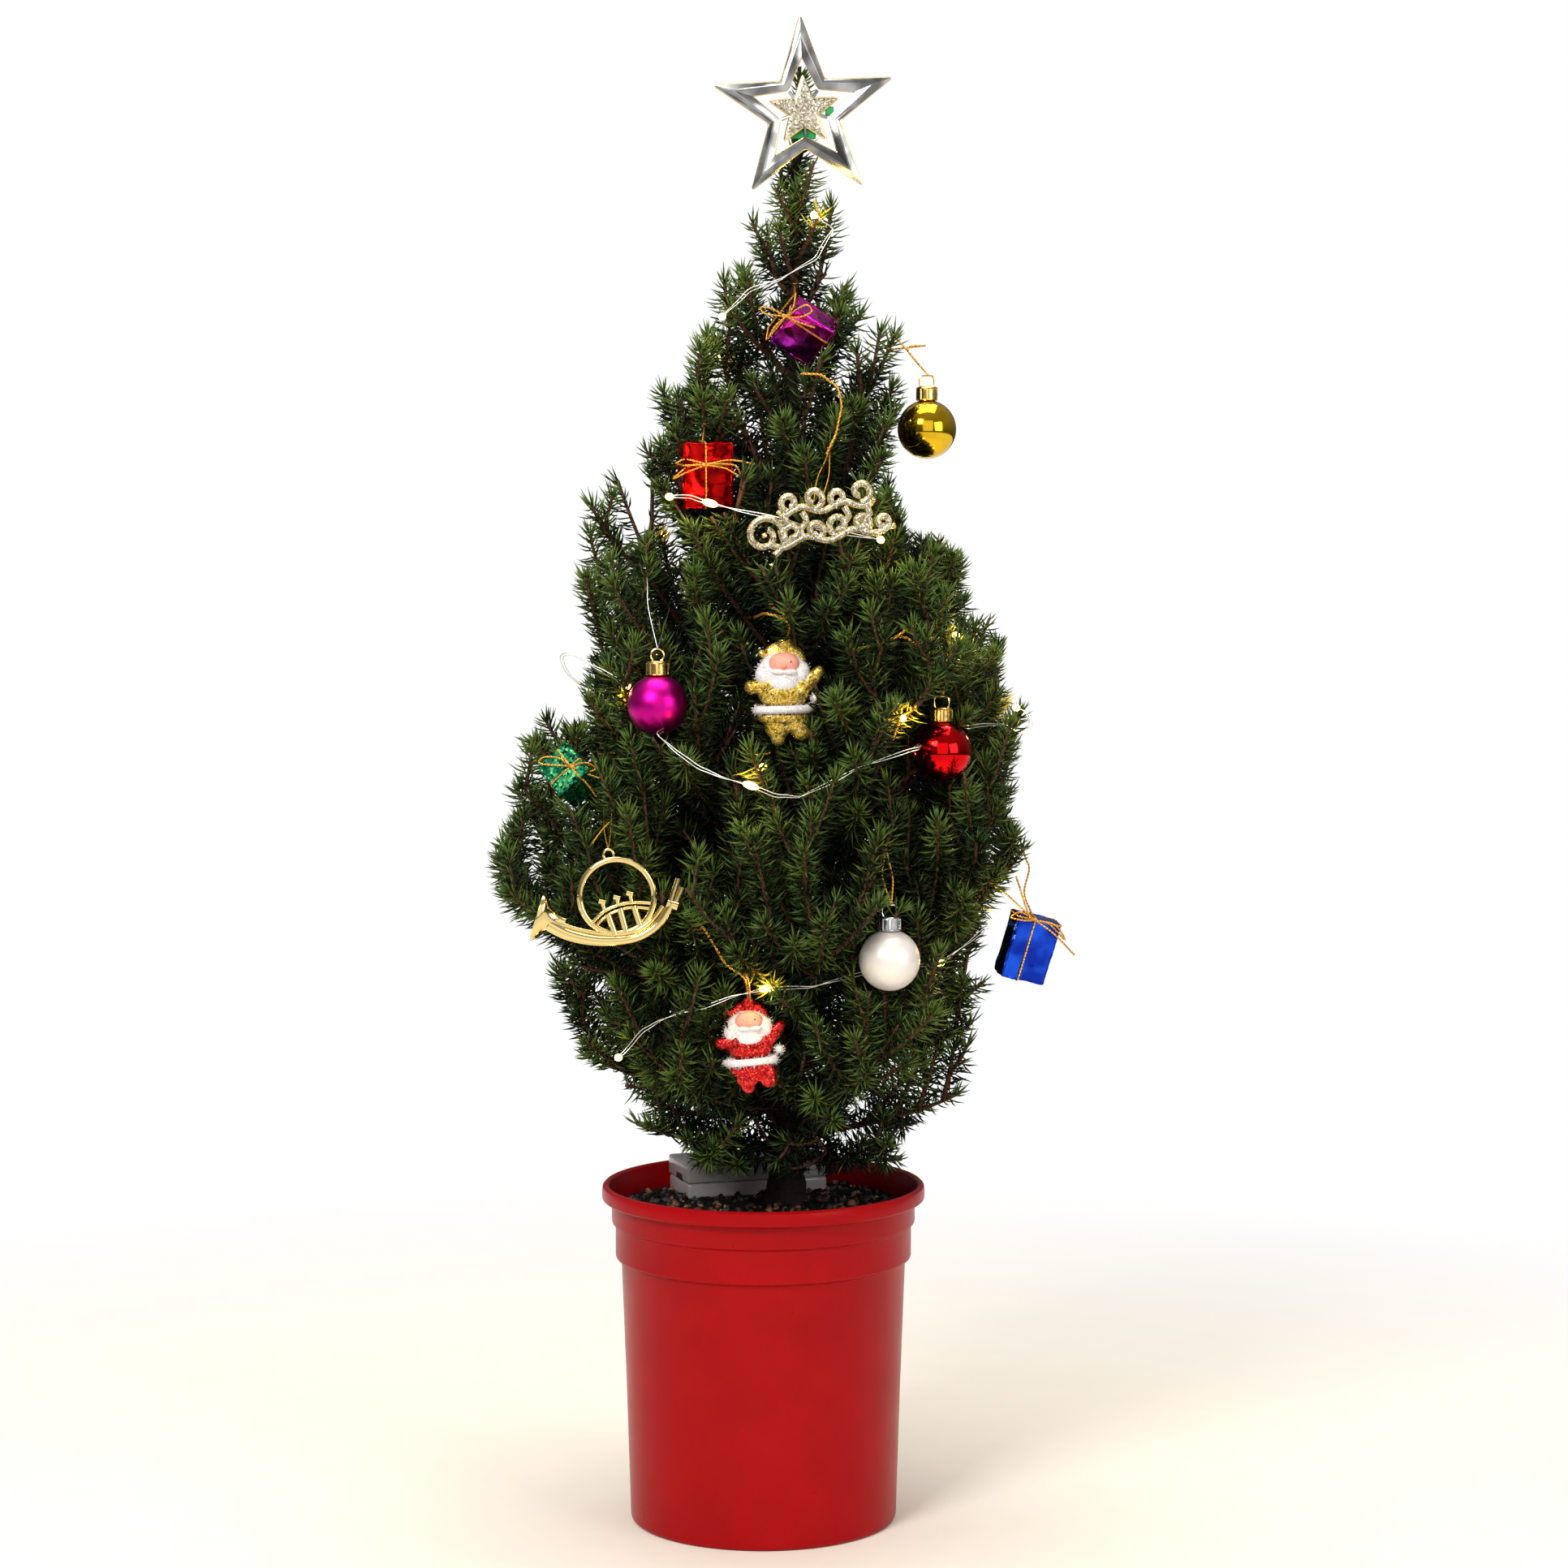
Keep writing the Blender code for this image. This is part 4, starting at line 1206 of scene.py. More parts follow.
class Crown:
    """The grown crown: every stem, shoot and twig, and where they show from the camera."""

    def __init__(self, room=None):
        self.room = room
        rows, leader = main_axes()
        thicket = Thicket(TWIGS_APART)
        dice = random.Random(FIRST_SEED - 1)
        rows = list(rows)
        for number, (_, path) in enumerate(rows):
            thicket.add(path, number)
        for row, (level, path) in enumerate(rows):
            shown = skyline().within([tuple(point) for point in path], 2)
            shown[:2 + int(len(path) * (0.6 if level == 0 else 0.1))] = True
            rows[row] = (level, path[:len(path) - int(shown[::-1].argmax())])
        axes = [(number, path, 0.10) for number, (_, path) in enumerate(rows)]
        axes.append((len(axes), leader, 0.0))
        self.rows = list(rows)
        height, size, gap, apart = FOOT_TWIGS
        foot = [(len(rows), [point for point in leader if point.z < height], 0.0)]
        made = grown_twigs(foot, thicket, room, size, gap, dice, 90000, apart)
        self.rows += [(3, path) for _, path, _ in made]
        for level, (size, gap) in enumerate(TWIG_ROUNDS, 2):
            axes = grown_twigs(axes, thicket, room, size, gap, dice, 10000 * level)
            self.rows += [(level, path) for _, path, _ in axes]
        self.rows.append((1, [point for point in leader if point.z > 0.70]))
        self.points = np.array([tuple(point) for _, path in self.rows for point in path])
        self.main = np.array([level < 2 for level, path in self.rows for _ in path])
        self.spots = shown_at(self.points)

    def near(self, across, down, reach):
        return ((self.spots - (across, down)) ** 2).sum(axis=1) < reach**2

    def face(self, across, down, reach):
        """How far forward the twigs come round a pixel, as a depth."""
        while True:
            close = self.near(across, down, reach)
            if close.sum() > 3:
                break
            reach *= 1.3
        depths = self.points[close, 1]
        main = self.points[close & self.main, 1]
        return float(min(np.quantile(depths, 0.10), *main)) if len(main) else float(depths.min())

    def perch(self, across, down, reach=9.0):
        """The front twig's point at a pixel."""
        while not self.near(across, down, reach).any():
            reach *= 1.3
        found = self.points[self.near(across, down, reach)]
        return Vector(found[found[:, 1].argmin()])

    def hull(self, bearing, height):
        """The point on the crown's outside at a bearing from the trunk and a height."""
        trunk = trunk_at(height)
        away = self.points - np.array(trunk)
        level = np.abs(away[:, 2]) < 0.012
        angle = np.arctan2(away[:, 1], away[:, 0])
        beside = np.abs((angle - bearing + math.pi) % math.tau - math.pi) < 0.16
        reaches = np.hypot(away[:, 0], away[:, 1])[level & beside]
        reach = float(np.quantile(reaches, 0.9)) if len(reaches) else 0.02
        return trunk + Vector((math.cos(bearing), math.sin(bearing), 0)) * reach


def needle_rows(rows, sizes, glows, room):
    """Root, middle, tip and kind of green of each needle along the twigs. The kinds paint shade on inner
    needles and light on outer, top and bulb-side ones.
    """
    roots, middles, tips, light = [], [], [], []
    for number, (level, path) in enumerate(rows):
        dice = np.random.default_rng((FIRST_SEED, number))
        run = sum((after - before).length for before, after in zip(path, path[1:]))
        inner = crown_share(path[-1]) < 0.5 and path[-1].z < BRIGHT_TOP
        thin = 0.5 if level == 0 else 0.62 if inner else 1.0
        count = int(run * 100 * sizes.needles_per_cm * thin)
        if count < 4:
            continue
        frames = frames_along(path)
        centres, tangents, across, beside = (
            np.array(column) for column in zip(*((p, *f) for p, f in zip(path, frames)))
        )
        share = (np.arange(count) + dice.uniform(0.2, 0.8, count)) / count
        share = np.clip(1 - (1 - share) ** 1.3, 0, 0.999)
        if level == 0:
            share = 0.2 + 0.8 * share
        place = share * (len(path) - 1)
        index = place.astype(int)
        part = (place - index)[:, None]
        after = np.minimum(index + 1, len(path) - 1)
        root = centres[index] * (1 - part) + centres[after] * part
        turn = np.arange(count) * GOLDEN_TURN + dice.uniform(0, 6.28)
        out = across[index] * np.cos(turn)[:, None] + beside[index] * np.sin(turn)[:, None]
        end = np.clip((share - (1 - 0.009 / run)) / (0.009 / run), 0, 1)
        lean = np.radians(83 - 10 * share - 42 * end + dice.normal(0, 9, count))[:, None]
        way = tangents[index] * np.cos(lean) + out * np.sin(lean)
        way += np.array([0, 0, 0.04]) + dice.normal(0, 0.07, (count, 3))
        way /= np.linalg.norm(way, axis=1)[:, None]
        curved = way + tangents[index] * 0.16 + np.array([0, 0, 0.10])
        curved /= np.linalg.norm(curved, axis=1)[:, None]
        length = (sizes.needle_length * dice.uniform(0.68, 1.06, count) * (1 - 0.14 * end))[:, None]
        middle = root + way * (0.54 * length)
        roots.append(root)
        middles.append(middle)
        tips.append(middle + curved * (0.46 * length))
        left, right, front = (
            np.interp(root[:, 2], OUTLINE_HEIGHTS, side) for side in OUTLINE_REACHES
        )
        trunk = np.array(trunk_at(float(root[:, 2].mean())))
        away = root[:, :2] - trunk[:2]
        out = np.hypot(away[:, 0] / np.where(away[:, 0] < 0, left, right), away[:, 1] / front)
        # Painted shade and light: needles far out and near the top are lighter, inner ones darker. Nearer
        # a twig's tip they are also lighter as new growth, with tone that differs at random.
        light.append(
            0.62 * out + 0.30 * share**2 + 0.30 * dice.uniform() + dice.normal(0, 0.11, count)
            + 4.0 * np.clip(root[:, 2] - BRIGHT_TOP, 0, 0.10)
        )
    roots, middles, tips, light = (np.concatenate(group) for group in (roots, middles, tips, light))
    kinds = np.digitize(light, NEEDLE_LIGHTS)
    # Needles round the bulbs take the lit kind: a painted pool of the bulbs' light.
    for glow in glows:
        near = np.linalg.norm(middles - np.array(glow), axis=1) < 0.0105
        kinds[near & (np.arange(len(kinds)) % 4 > 0)] = 4
    kept = ~(room.holds(middles) | room.holds(tips)) & (tips[:, 2] > LOWEST_NEEDLE - 0.004)
    kept &= skyline().within(tips, NEEDLE_OUTSET)
    return roots[kept], middles[kept], tips[kept], kinds[kept]


def needle_mesh(name, roots, middles, tips, width, full=False):
    """Needles of three sides: spindles of six faces, or full ones of ten with a broad root."""
    count = len(roots)
    along = tips - roots
    side = np.cross(along, np.array([0.31, 0.17, 0.93]))
    side /= np.linalg.norm(side, axis=1)[:, None]
    other = np.cross(along, side)
    other /= np.linalg.norm(other, axis=1)[:, None]
    rings = [(roots, 0.36), (middles, 0.5)] if full else [(middles, 0.5)]
    rows = [] if full else [roots]
    for centres, reach in rings:
        for corner in range(3):
            angle = math.tau * corner / 3
            rows.append(centres + (side * math.cos(angle) + other * math.sin(angle)) * reach * width)
    points = np.stack(rows + [tips], axis=1)
    if full:
        faces = [(0, 2, 1)]
        for low, high in ((0, 1), (1, 2), (2, 0)):
            faces += [(low, high, high + 3), (low, high + 3, low + 3), (6, low + 3, high + 3)]
    else:
        faces = [(0, 2, 1), (0, 3, 2), (0, 1, 3), (4, 1, 2), (4, 2, 3), (4, 3, 1)]
    corners = np.array(faces).ravel()
    loops = (np.arange(count)[:, None] * points.shape[1] + corners[None, :]).ravel()
    return mesh_of(name, points.reshape(-1, 3), loops, 3)


def star_balls():
    """Balls of room along the star's edges and round its middle."""
    made = []
    for corner in range(10):
        ends = []
        for step in (corner, corner + 1):
            angle = STAR_TURN + math.pi / 2 + math.pi * step / 5
            reach = STAR_RADIUS * (0.93 if step % 2 == 0 else STAR_NOTCH)
            ends.append(STAR_CENTRE + Vector((math.cos(angle), 0, math.sin(angle))) * reach)
        made += [(ends[0].lerp(ends[1], share), 0.0045) for share in (0.1, 0.35, 0.6, 0.85)]
        if corner % 2:
            made.append((STAR_CENTRE.lerp(ends[0], 0.7), 0.0040))
    return made + [(STAR_CENTRE, 0.010)]


@lru_cache(maxsize=1)
def first_crown():
    """The crown as it grows with nothing hung on it, which gives the ornaments their depth."""
    return Crown()


@lru_cache(maxsize=None)
def front_depth(across, down, reach):
    return first_crown().face(across, down, reach)


def perch_depth(spot):
    return first_crown().perch(*spot, 24.0).y


def bauble_place(name):
    """A bauble's middle and its radius."""
    row = BAUBLES[name]
    depth = perch_depth(row["free"]) if "free" in row else front_depth(*row["at"], row["size"])
    radius = pixels(row["size"], depth)
    if "free" not in row:
        depth -= 0.25 * radius
    return seen_at(*row["at"], depth), radius


def gift_place(name):
    """A box's middle with its turns, and its sizes."""
    row = GIFTS[name]
    wide, tall, deep = row["size"]
    if "free" in row:
        depth = perch_depth(row["free"])
    else:
        depth = front_depth(*row["at"], wide / 2) - pixels(0.18 * deep, 0.0)
    size = Vector([pixels(count, depth) for count in (wide, deep, tall)])
    pitch, yaw, lean = (math.radians(angle) for angle in row["turn"])
    turn = Matrix.Rotation(lean, 4, "Y") @ Matrix.Rotation(pitch, 4, "X")
    turn = turn @ Matrix.Rotation(yaw, 4, "Z")
    return Matrix.Translation(seen_at(*row["at"], depth)) @ turn, size


def figure_depth(name):
    return front_depth(*FIGURES[name]["at"], 34) - 0.008


def horn_depth():
    return front_depth(*HORN_AT, 60) - 0.007


def sign_depth():
    return front_depth(*SIGN_AT, 70) - 0.003


def room_balls():
    """The places that the ornaments take up."""
    made = star_balls()
    for name in BAUBLES:
        centre, radius = bauble_place(name)
        made += [(centre, radius + 0.0015), (centre + UP * (radius + 0.005), 0.009)]
    for name in GIFTS:
        place, size = gift_place(name)
        for x in (-0.25, 0.25):
            for z in (-0.25, 0.25):
                middle = place @ Vector((x * size.x, 0, z * size.z))
                made.append((middle, 0.36 * max(size)))
    for name, row in FIGURES.items():
        depth = figure_depth(name)
        for across, down, count in ((0, -26, 30), (0, 6, 30), (-3, 38, 26), (42, -20, 17), (-38, -2, 16),
                                    (-5, 58, 12), (20, 52, 12)):
            spot = (row["at"][0] + across * row["scale"], row["at"][1] + down * row["scale"])
            made.append((seen_at(*spot, depth), pixels(count * row["scale"], depth)))
    depth = horn_depth()
    for step in range(20):
        angle = math.tau * step / 20
        spot = (760.6 + 45 * math.cos(angle), 1103.8 + 45 * math.sin(angle))
        made.append((seen_at(*spot, depth), 0.0042))
    for spot in ((668, 1112), (667, 1130), (664, 1148)):
        made.append((seen_at(*spot, depth), 0.0095))
    for spot in ((690, 1140), (710, 1148), (735, 1155),
                 (762, 1158), (790, 1150), (812, 1134), (824, 1114), (832, 1096), (838, 1084),
                 (752, 1120), (770, 1118), (788, 1118), (766, 1136), (748, 1136), (784, 1132)):
        made.append((seen_at(*spot, depth), 0.0058))
    depth = sign_depth()
    for across in range(-88, 96, 15):
        for down in (-26, -6, 14, 34):
            spot = (SIGN_AT[0] + across, SIGN_AT[1] + down - 0.12 * across)
            if down > -20 or -40 < across < 75:
                made.append((seen_at(*spot, depth), 0.0052))
    for across in (-0.036, -0.018, 0.0, 0.018, 0.036):
        for deep in (-0.012, 0.012):
            made.append((BOX_PLACE @ Vector((across, deep, 0.0125)), 0.0150))
    return made


@lru_cache(maxsize=1)
def crown():
    """The crown that is built, with room for all that hangs on it."""
    return Crown(Room(room_balls()))


class SPRUCE_OT_needles(bpy.types.Operator):
    """Grow the crown's twigs and their needles"""

    bl_idname = "spruce.needles"
    bl_label = "Needles and Twigs"

    def execute(self, context):
        sizes = context.scene.spruce_sizes
        tree = crown()
        roots, middles, tips, kinds = needle_rows(tree.rows, sizes, bulb_places(), tree.room)
        masses = sorted(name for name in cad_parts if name.startswith("needles"))
        greens = []
        # Lit and shaded copies of one needle green, from painted shade to painted light. The last is
        # painted light round the bulbs.
        for name, colour in (
            ("Shaded", sizes.shade_green), ("Deep", sizes.deep_green), ("Leaf", sizes.leaf_green),
            ("Fresh", sizes.fresh_lit_green), ("Lit", (0.40, 0.34, 0.03)),
        ):
            dark, light = ([shade * part for part in colour] for shade in (0.72, 1.28))
            greens.append(
                mottled(f"{name} needles", dark, light, 0.42, 260, Specular_IOR_Level=0.12)
            )
        # The needles by the bulbs glow a little: painted light.
        lit = greens[4].surface
        lit.inputs["Emission Color"].default_value = (1.0, 0.62, 0.05, 1)
        lit.inputs["Emission Strength"].default_value = 0.18
        names = ("needles_shaded", "needles_deep", "needles_leaf", "needles_fresh", "needles_lit")
        for kind, (name, green) in enumerate(zip(names, greens)):
            chosen = np.nonzero(kinds == kind)[0]
            pieces = max(1, math.ceil(len(chosen) / (19000 if kind > 1 else 32000)))
            for number, part in enumerate(np.array_split(chosen, pieces), 1):
                if not len(part):
                    continue
                made = needle_mesh(
                    f"{name}_{number}", roots[part], middles[part], tips[part],
                    sizes.needle_width * (1.0 if kind > 1 else 1.3), kind > 1,
                )
                made.data.materials.append(green.material)
                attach(made, "root")
                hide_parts(*masses)
        paths = [path for _, path in tree.rows]
        radii = [np.linspace(*TWIG_WIDTHS[level], len(path)) for level, path in tree.rows]
        twigs = tubes("twigs", paths, radii, 5)
        bark = mottled(
            "Twig bark", [0.55 * part for part in sizes.bark_brown],
            [1.5 * part for part in sizes.bark_brown], 0.8, 900, 0.0004, Specular_IOR_Level=0.2,
        )
        twigs.data.materials.append(bark.material)
        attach(twigs, "root")
        return {"FINISHED"}


class SPRUCE_OT_wood(bpy.types.Operator):
    """Make the trunk and the main boughs with the relief of their bark"""

    bl_idname = "spruce.wood"
    bl_label = "Trunk and Boughs"

    def execute(self, context):
        sizes = context.scene.spruce_sizes
        bark = Recipe("Spruce bark", sizes.bark_brown, 0.88, Specular_IOR_Level=0.2)
        flakes = bark.noise(330, 4, 0.62)
        broad = bark.noise(90, 3)
        bark.paint(bark.blend(flakes, (0.0025, 0.0018, 0.0015), (0.018, 0.012, 0.009)))
        bark.relief(flakes + broad * 0.6, 0.0022)
        foot = SOIL_TOP - 0.001
        rings = []
        for step in range(181):
            height = foot + (TRUNK_TIP - foot) * (step / 180) ** 1.2
            flare = FLARE * math.exp(-(height - foot) / FLARE_HEIGHT)
            knot = 0.0007 * math.sin(height * 320) * math.sin(height * 137 + 1)
            radius = trunk_radius(height)
            radius += knot * radius / TRUNK_RADIUS
            points = []
            for side in range(24):
                angle = math.tau * side / 24
                lobes = 1 + ROOT_LOBE_DEPTH * math.cos(ROOT_LOBES * angle + ROOT_LOBE_TURN) ** 2
                out = Vector((math.cos(angle), math.sin(angle), 0))
                rough = noise.noise((trunk_at(height) + out * radius) * 150) * 0.10 * radius
                points.append(trunk_at(height) + out * (radius + flare * lobes + rough))
            rings.append(points)
        trunk = rings_mesh("trunk_bark", [rings])
        dice = random.Random(FIRST_SEED)
        boughs = []
        widths = []
        for limb in all_limbs():
            if limb.has_bough:
                boughs.append(limb.path(0.0, BARE_SHARE + 0.02, 16))
                widths.append(
                    [bough_radius(s / 16) * (0.62 + dice.uniform(-0.05, 0.05)) for s in range(17)]
                )
        branches = tubes("bough_bark", boughs, widths, 12)
        for made, nodes in (
            (trunk, ["trunk"]),
            (branches, sorted(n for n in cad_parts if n.startswith("bough"))),
        ):
            made.data.materials.append(bark.material)
            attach(made, "root")
            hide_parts(*nodes)
        return {"FINISHED"}


def pot_profile():
    """The pot's section: up the outside, over the lip, down the inside and across the floor."""
    return [
        (0.0, 0.0), (0.0800, 0.0), (0.0816, 0.0006), (0.0824, 0.0018), (0.0827, 0.0036),
        (0.0850, 0.080), (0.0880, 0.1618), (0.0885, 0.1630), (0.0912, 0.1645), (0.0917, 0.1656),
        (0.0917, 0.1838), (0.0920, 0.1850), (0.0936, 0.1862), (0.0940, 0.1874), (0.0940, 0.1975),
        (0.0944, 0.1992), (0.0960, 0.2002), (0.0990, 0.2005), (0.0998, 0.2012), (0.1000, 0.2024),
        (0.1000, 0.2066), (0.0996, 0.2086), (0.0984, 0.2098), (0.0968, 0.2099), (0.0956, 0.2088),
        (0.0940, 0.2040), (0.0922, 0.1990), (0.0920, 0.1970), (0.0920, 0.1880), (0.0898, 0.1850),
        (0.0897, 0.1660), (0.0864, 0.1630), (0.0808, 0.0030), (0.0, 0.0030),
    ]


class SPRUCE_OT_pot(bpy.types.Operator):
    """Turn the red pot with its rim and bands"""

    bl_idname = "spruce.pot"
    bl_label = "Pot"

    def execute(self, context):
        sizes = context.scene.spruce_sizes
        dark, light = ([shade * part for part in sizes.pot_red] for shade in (0.90, 1.08))
        plastic = mottled("Red pot plastic", dark, light, 0.36, 26, Specular_IOR_Level=0.09)
        plastic.rough(plastic.noise(40, 3) * 0.12 + 0.24)
        plastic.relief(plastic.noise(1400, 2), 0.00010, 0.5)
        pot = turned(pot_profile(), sizes.pot_sides)
        settled(pot, "pot_wall", plastic.material, ["pot"], smooth=24)
        return {"FINISHED"}


def soil_height(x, y):
    """The mound's height at a place: low at the wall, with lumps."""
    out = math.hypot(x, y) / 0.0912
    lumps = noise.noise(Vector((x, y, 0)) * 95) * 0.0016 + noise.noise(Vector((x, y, 9)) * 330) * 0.0007
    return SOIL_TOP - 0.0032 * out**2 + lumps


def shaken(piece, amount, seed):
    """Moves every corner of the piece by chance."""
    dice = np.random.default_rng(seed)
    places = np.empty(3 * len(piece.data.vertices), np.float32)
    piece.data.vertices.foreach_get("co", places)
    places += dice.normal(0, amount, len(places)).astype(np.float32)
    piece.data.vertices.foreach_set("co", places)


def crumbs(name, finish, count, smallest, largest, seed):
    """Broken crumbs that lie on the soil, joined."""
    dice = random.Random(seed)
    deselect()
    bpy.ops.mesh.primitive_ico_sphere_add(subdivisions=1, radius=1)
    one = bpy.context.object
    shape = np.array([tuple(point.co) for point in one.data.vertices])
    faces = np.array([tuple(face.vertices) for face in one.data.polygons])
    bpy.data.objects.remove(one, do_unlink=True)
    points = []
    for _ in range(count):
        reach = 0.0895 * math.sqrt(dice.uniform(0.02, 1))
        angle = dice.uniform(0, math.tau)
        x, y = reach * math.cos(angle), reach * math.sin(angle)
        size = Vector([dice.uniform(smallest, largest) * dice.uniform(0.45, 1) for _ in range(3)])
        turn = Euler([dice.uniform(0, math.tau) for _ in range(3)]).to_matrix()
        jolt = np.array([dice.uniform(0.75, 1.2) for _ in range(len(shape))])
        local = shape * jolt[:, None] * np.array(size) @ np.array(turn)
        points.append(local + np.array((x, y, soil_height(x, y) + 0.2 * size.z)))
    loops = (np.arange(count)[:, None] * len(shape) + faces.ravel()[None, :]).ravel()
    made = mesh_of(name, np.concatenate(points), loops, 3)
    return settled(made, name, finish, smooth=0)


class SPRUCE_OT_soil(bpy.types.Operator):
    """Fill the pot with potting soil, with crumbs and chips of bark on it"""

    bl_idname = "spruce.soil"
    bl_label = "Soil"

    def execute(self, context):
        dark = mottled(
            "Potting soil", (0.0022, 0.0015, 0.0014), (0.013, 0.0085, 0.0070), 0.85, 420, 0.005,
            Specular_IOR_Level=0.15,
        ).material
        profile = [(0.0804, 0.0032), (0.0862, 0.1632), (0.0895, 0.1664), (0.0895, 0.1852),
                   (0.0917, 0.1882), (0.0917, SOIL_TOP - 0.0030)]
        profile += [(0.0912 * (1 - step / 44), SOIL_TOP - 0.0032 * (1 - step / 44) ** 2)
                    for step in range(44)]
        soil = turned(profile + [(0.0, SOIL_TOP)], 120)
        for point in soil.data.vertices:
            out = math.hypot(point.co.x, point.co.y)
            if point.co.z > 0.192 and out < 0.0905:
                point.co.z = soil_height(point.co.x, point.co.y)
        settled(soil, "soil_mound", dark, ["soil"], smooth=60)
        chip = mottled("Bark chips", (0.040, 0.013, 0.005), (0.20, 0.075, 0.026), 0.60, 300, 0.001)
        pale = mottled("Pale crumbs", (0.16, 0.11, 0.07), (0.42, 0.34, 0.25), 0.9, 400, 0.001)
        grit = mottled("Grit", (0.007, 0.0042, 0.0034), (0.036, 0.022, 0.017), 0.7, 300, 0.001)
        crumbs("soil_crumbs", dark, 700, 0.0012, 0.0042, 3)
        crumbs("soil_grit", grit.material, 420, 0.0012, 0.0044, 6)
        crumbs("soil_chips", chip.material, 170, 0.0012, 0.0044, 4)
        crumbs("soil_pale", pale.material, 70, 0.0008, 0.0024, 5)
        return {"FINISHED"}


def flat_star(radius, notch, height):
    """A filled star of ten corners in the level plane, with a point along Y."""
    deselect()
    bpy.ops.mesh.primitive_circle_add(
        vertices=10, radius=radius, fill_type="NGON", location=(0, 0, height)
    )
    made = bpy.context.object
    bpy.ops.object.transform_apply(location=True)

    def is_notch(point):
        turn = (math.atan2(point.co.x, point.co.y) % (math.tau / 5)) / (math.tau / 5)
        return 0.25 < turn < 0.75

    picked(made, "vertices", is_notch)
    bpy.ops.transform.resize(value=(notch, notch, 1), center_override=(0, 0, 0))
    bpy.ops.object.mode_set(mode="OBJECT")
    return made


def upright(piece):
    """Stands a piece that was made lying flat up at the star's middle, facing the front."""
    piece.matrix_world = (
        Matrix.Translation(STAR_CENTRE)
        @ Matrix.Rotation(-STAR_TURN, 4, "Y")
        @ Matrix.Rotation(math.pi / 2, 4, "X")
    )
    make_active(piece)
    bpy.ops.object.transform_apply(location=True, rotation=True, scale=True)
    return piece


def star_spots(radius, notch, out=0.0):
    """The ten corners of a star in the upright plane at its middle, and its first again."""
    made = []
    for corner in range(12):
        angle = STAR_TURN + math.pi / 2 + math.pi * corner / 5
        reach = radius * (1 if corner % 2 == 0 else notch)
        way = Vector((math.cos(angle), 0, math.sin(angle)))
        made.append(STAR_CENTRE + way * reach + FRONT * out)
    return made


def rounded_corners(points, reach):
    """The path with each inner corner cut back to a short curve."""
    made = []
    for before, corner, after in zip(points, points[1:], points[2:]):
        back = (before - corner).normalized() * reach
        ahead = (after - corner).normalized() * reach
        made += [corner + back, corner + (back + ahead) * 0.28, corner + ahead]
    return made


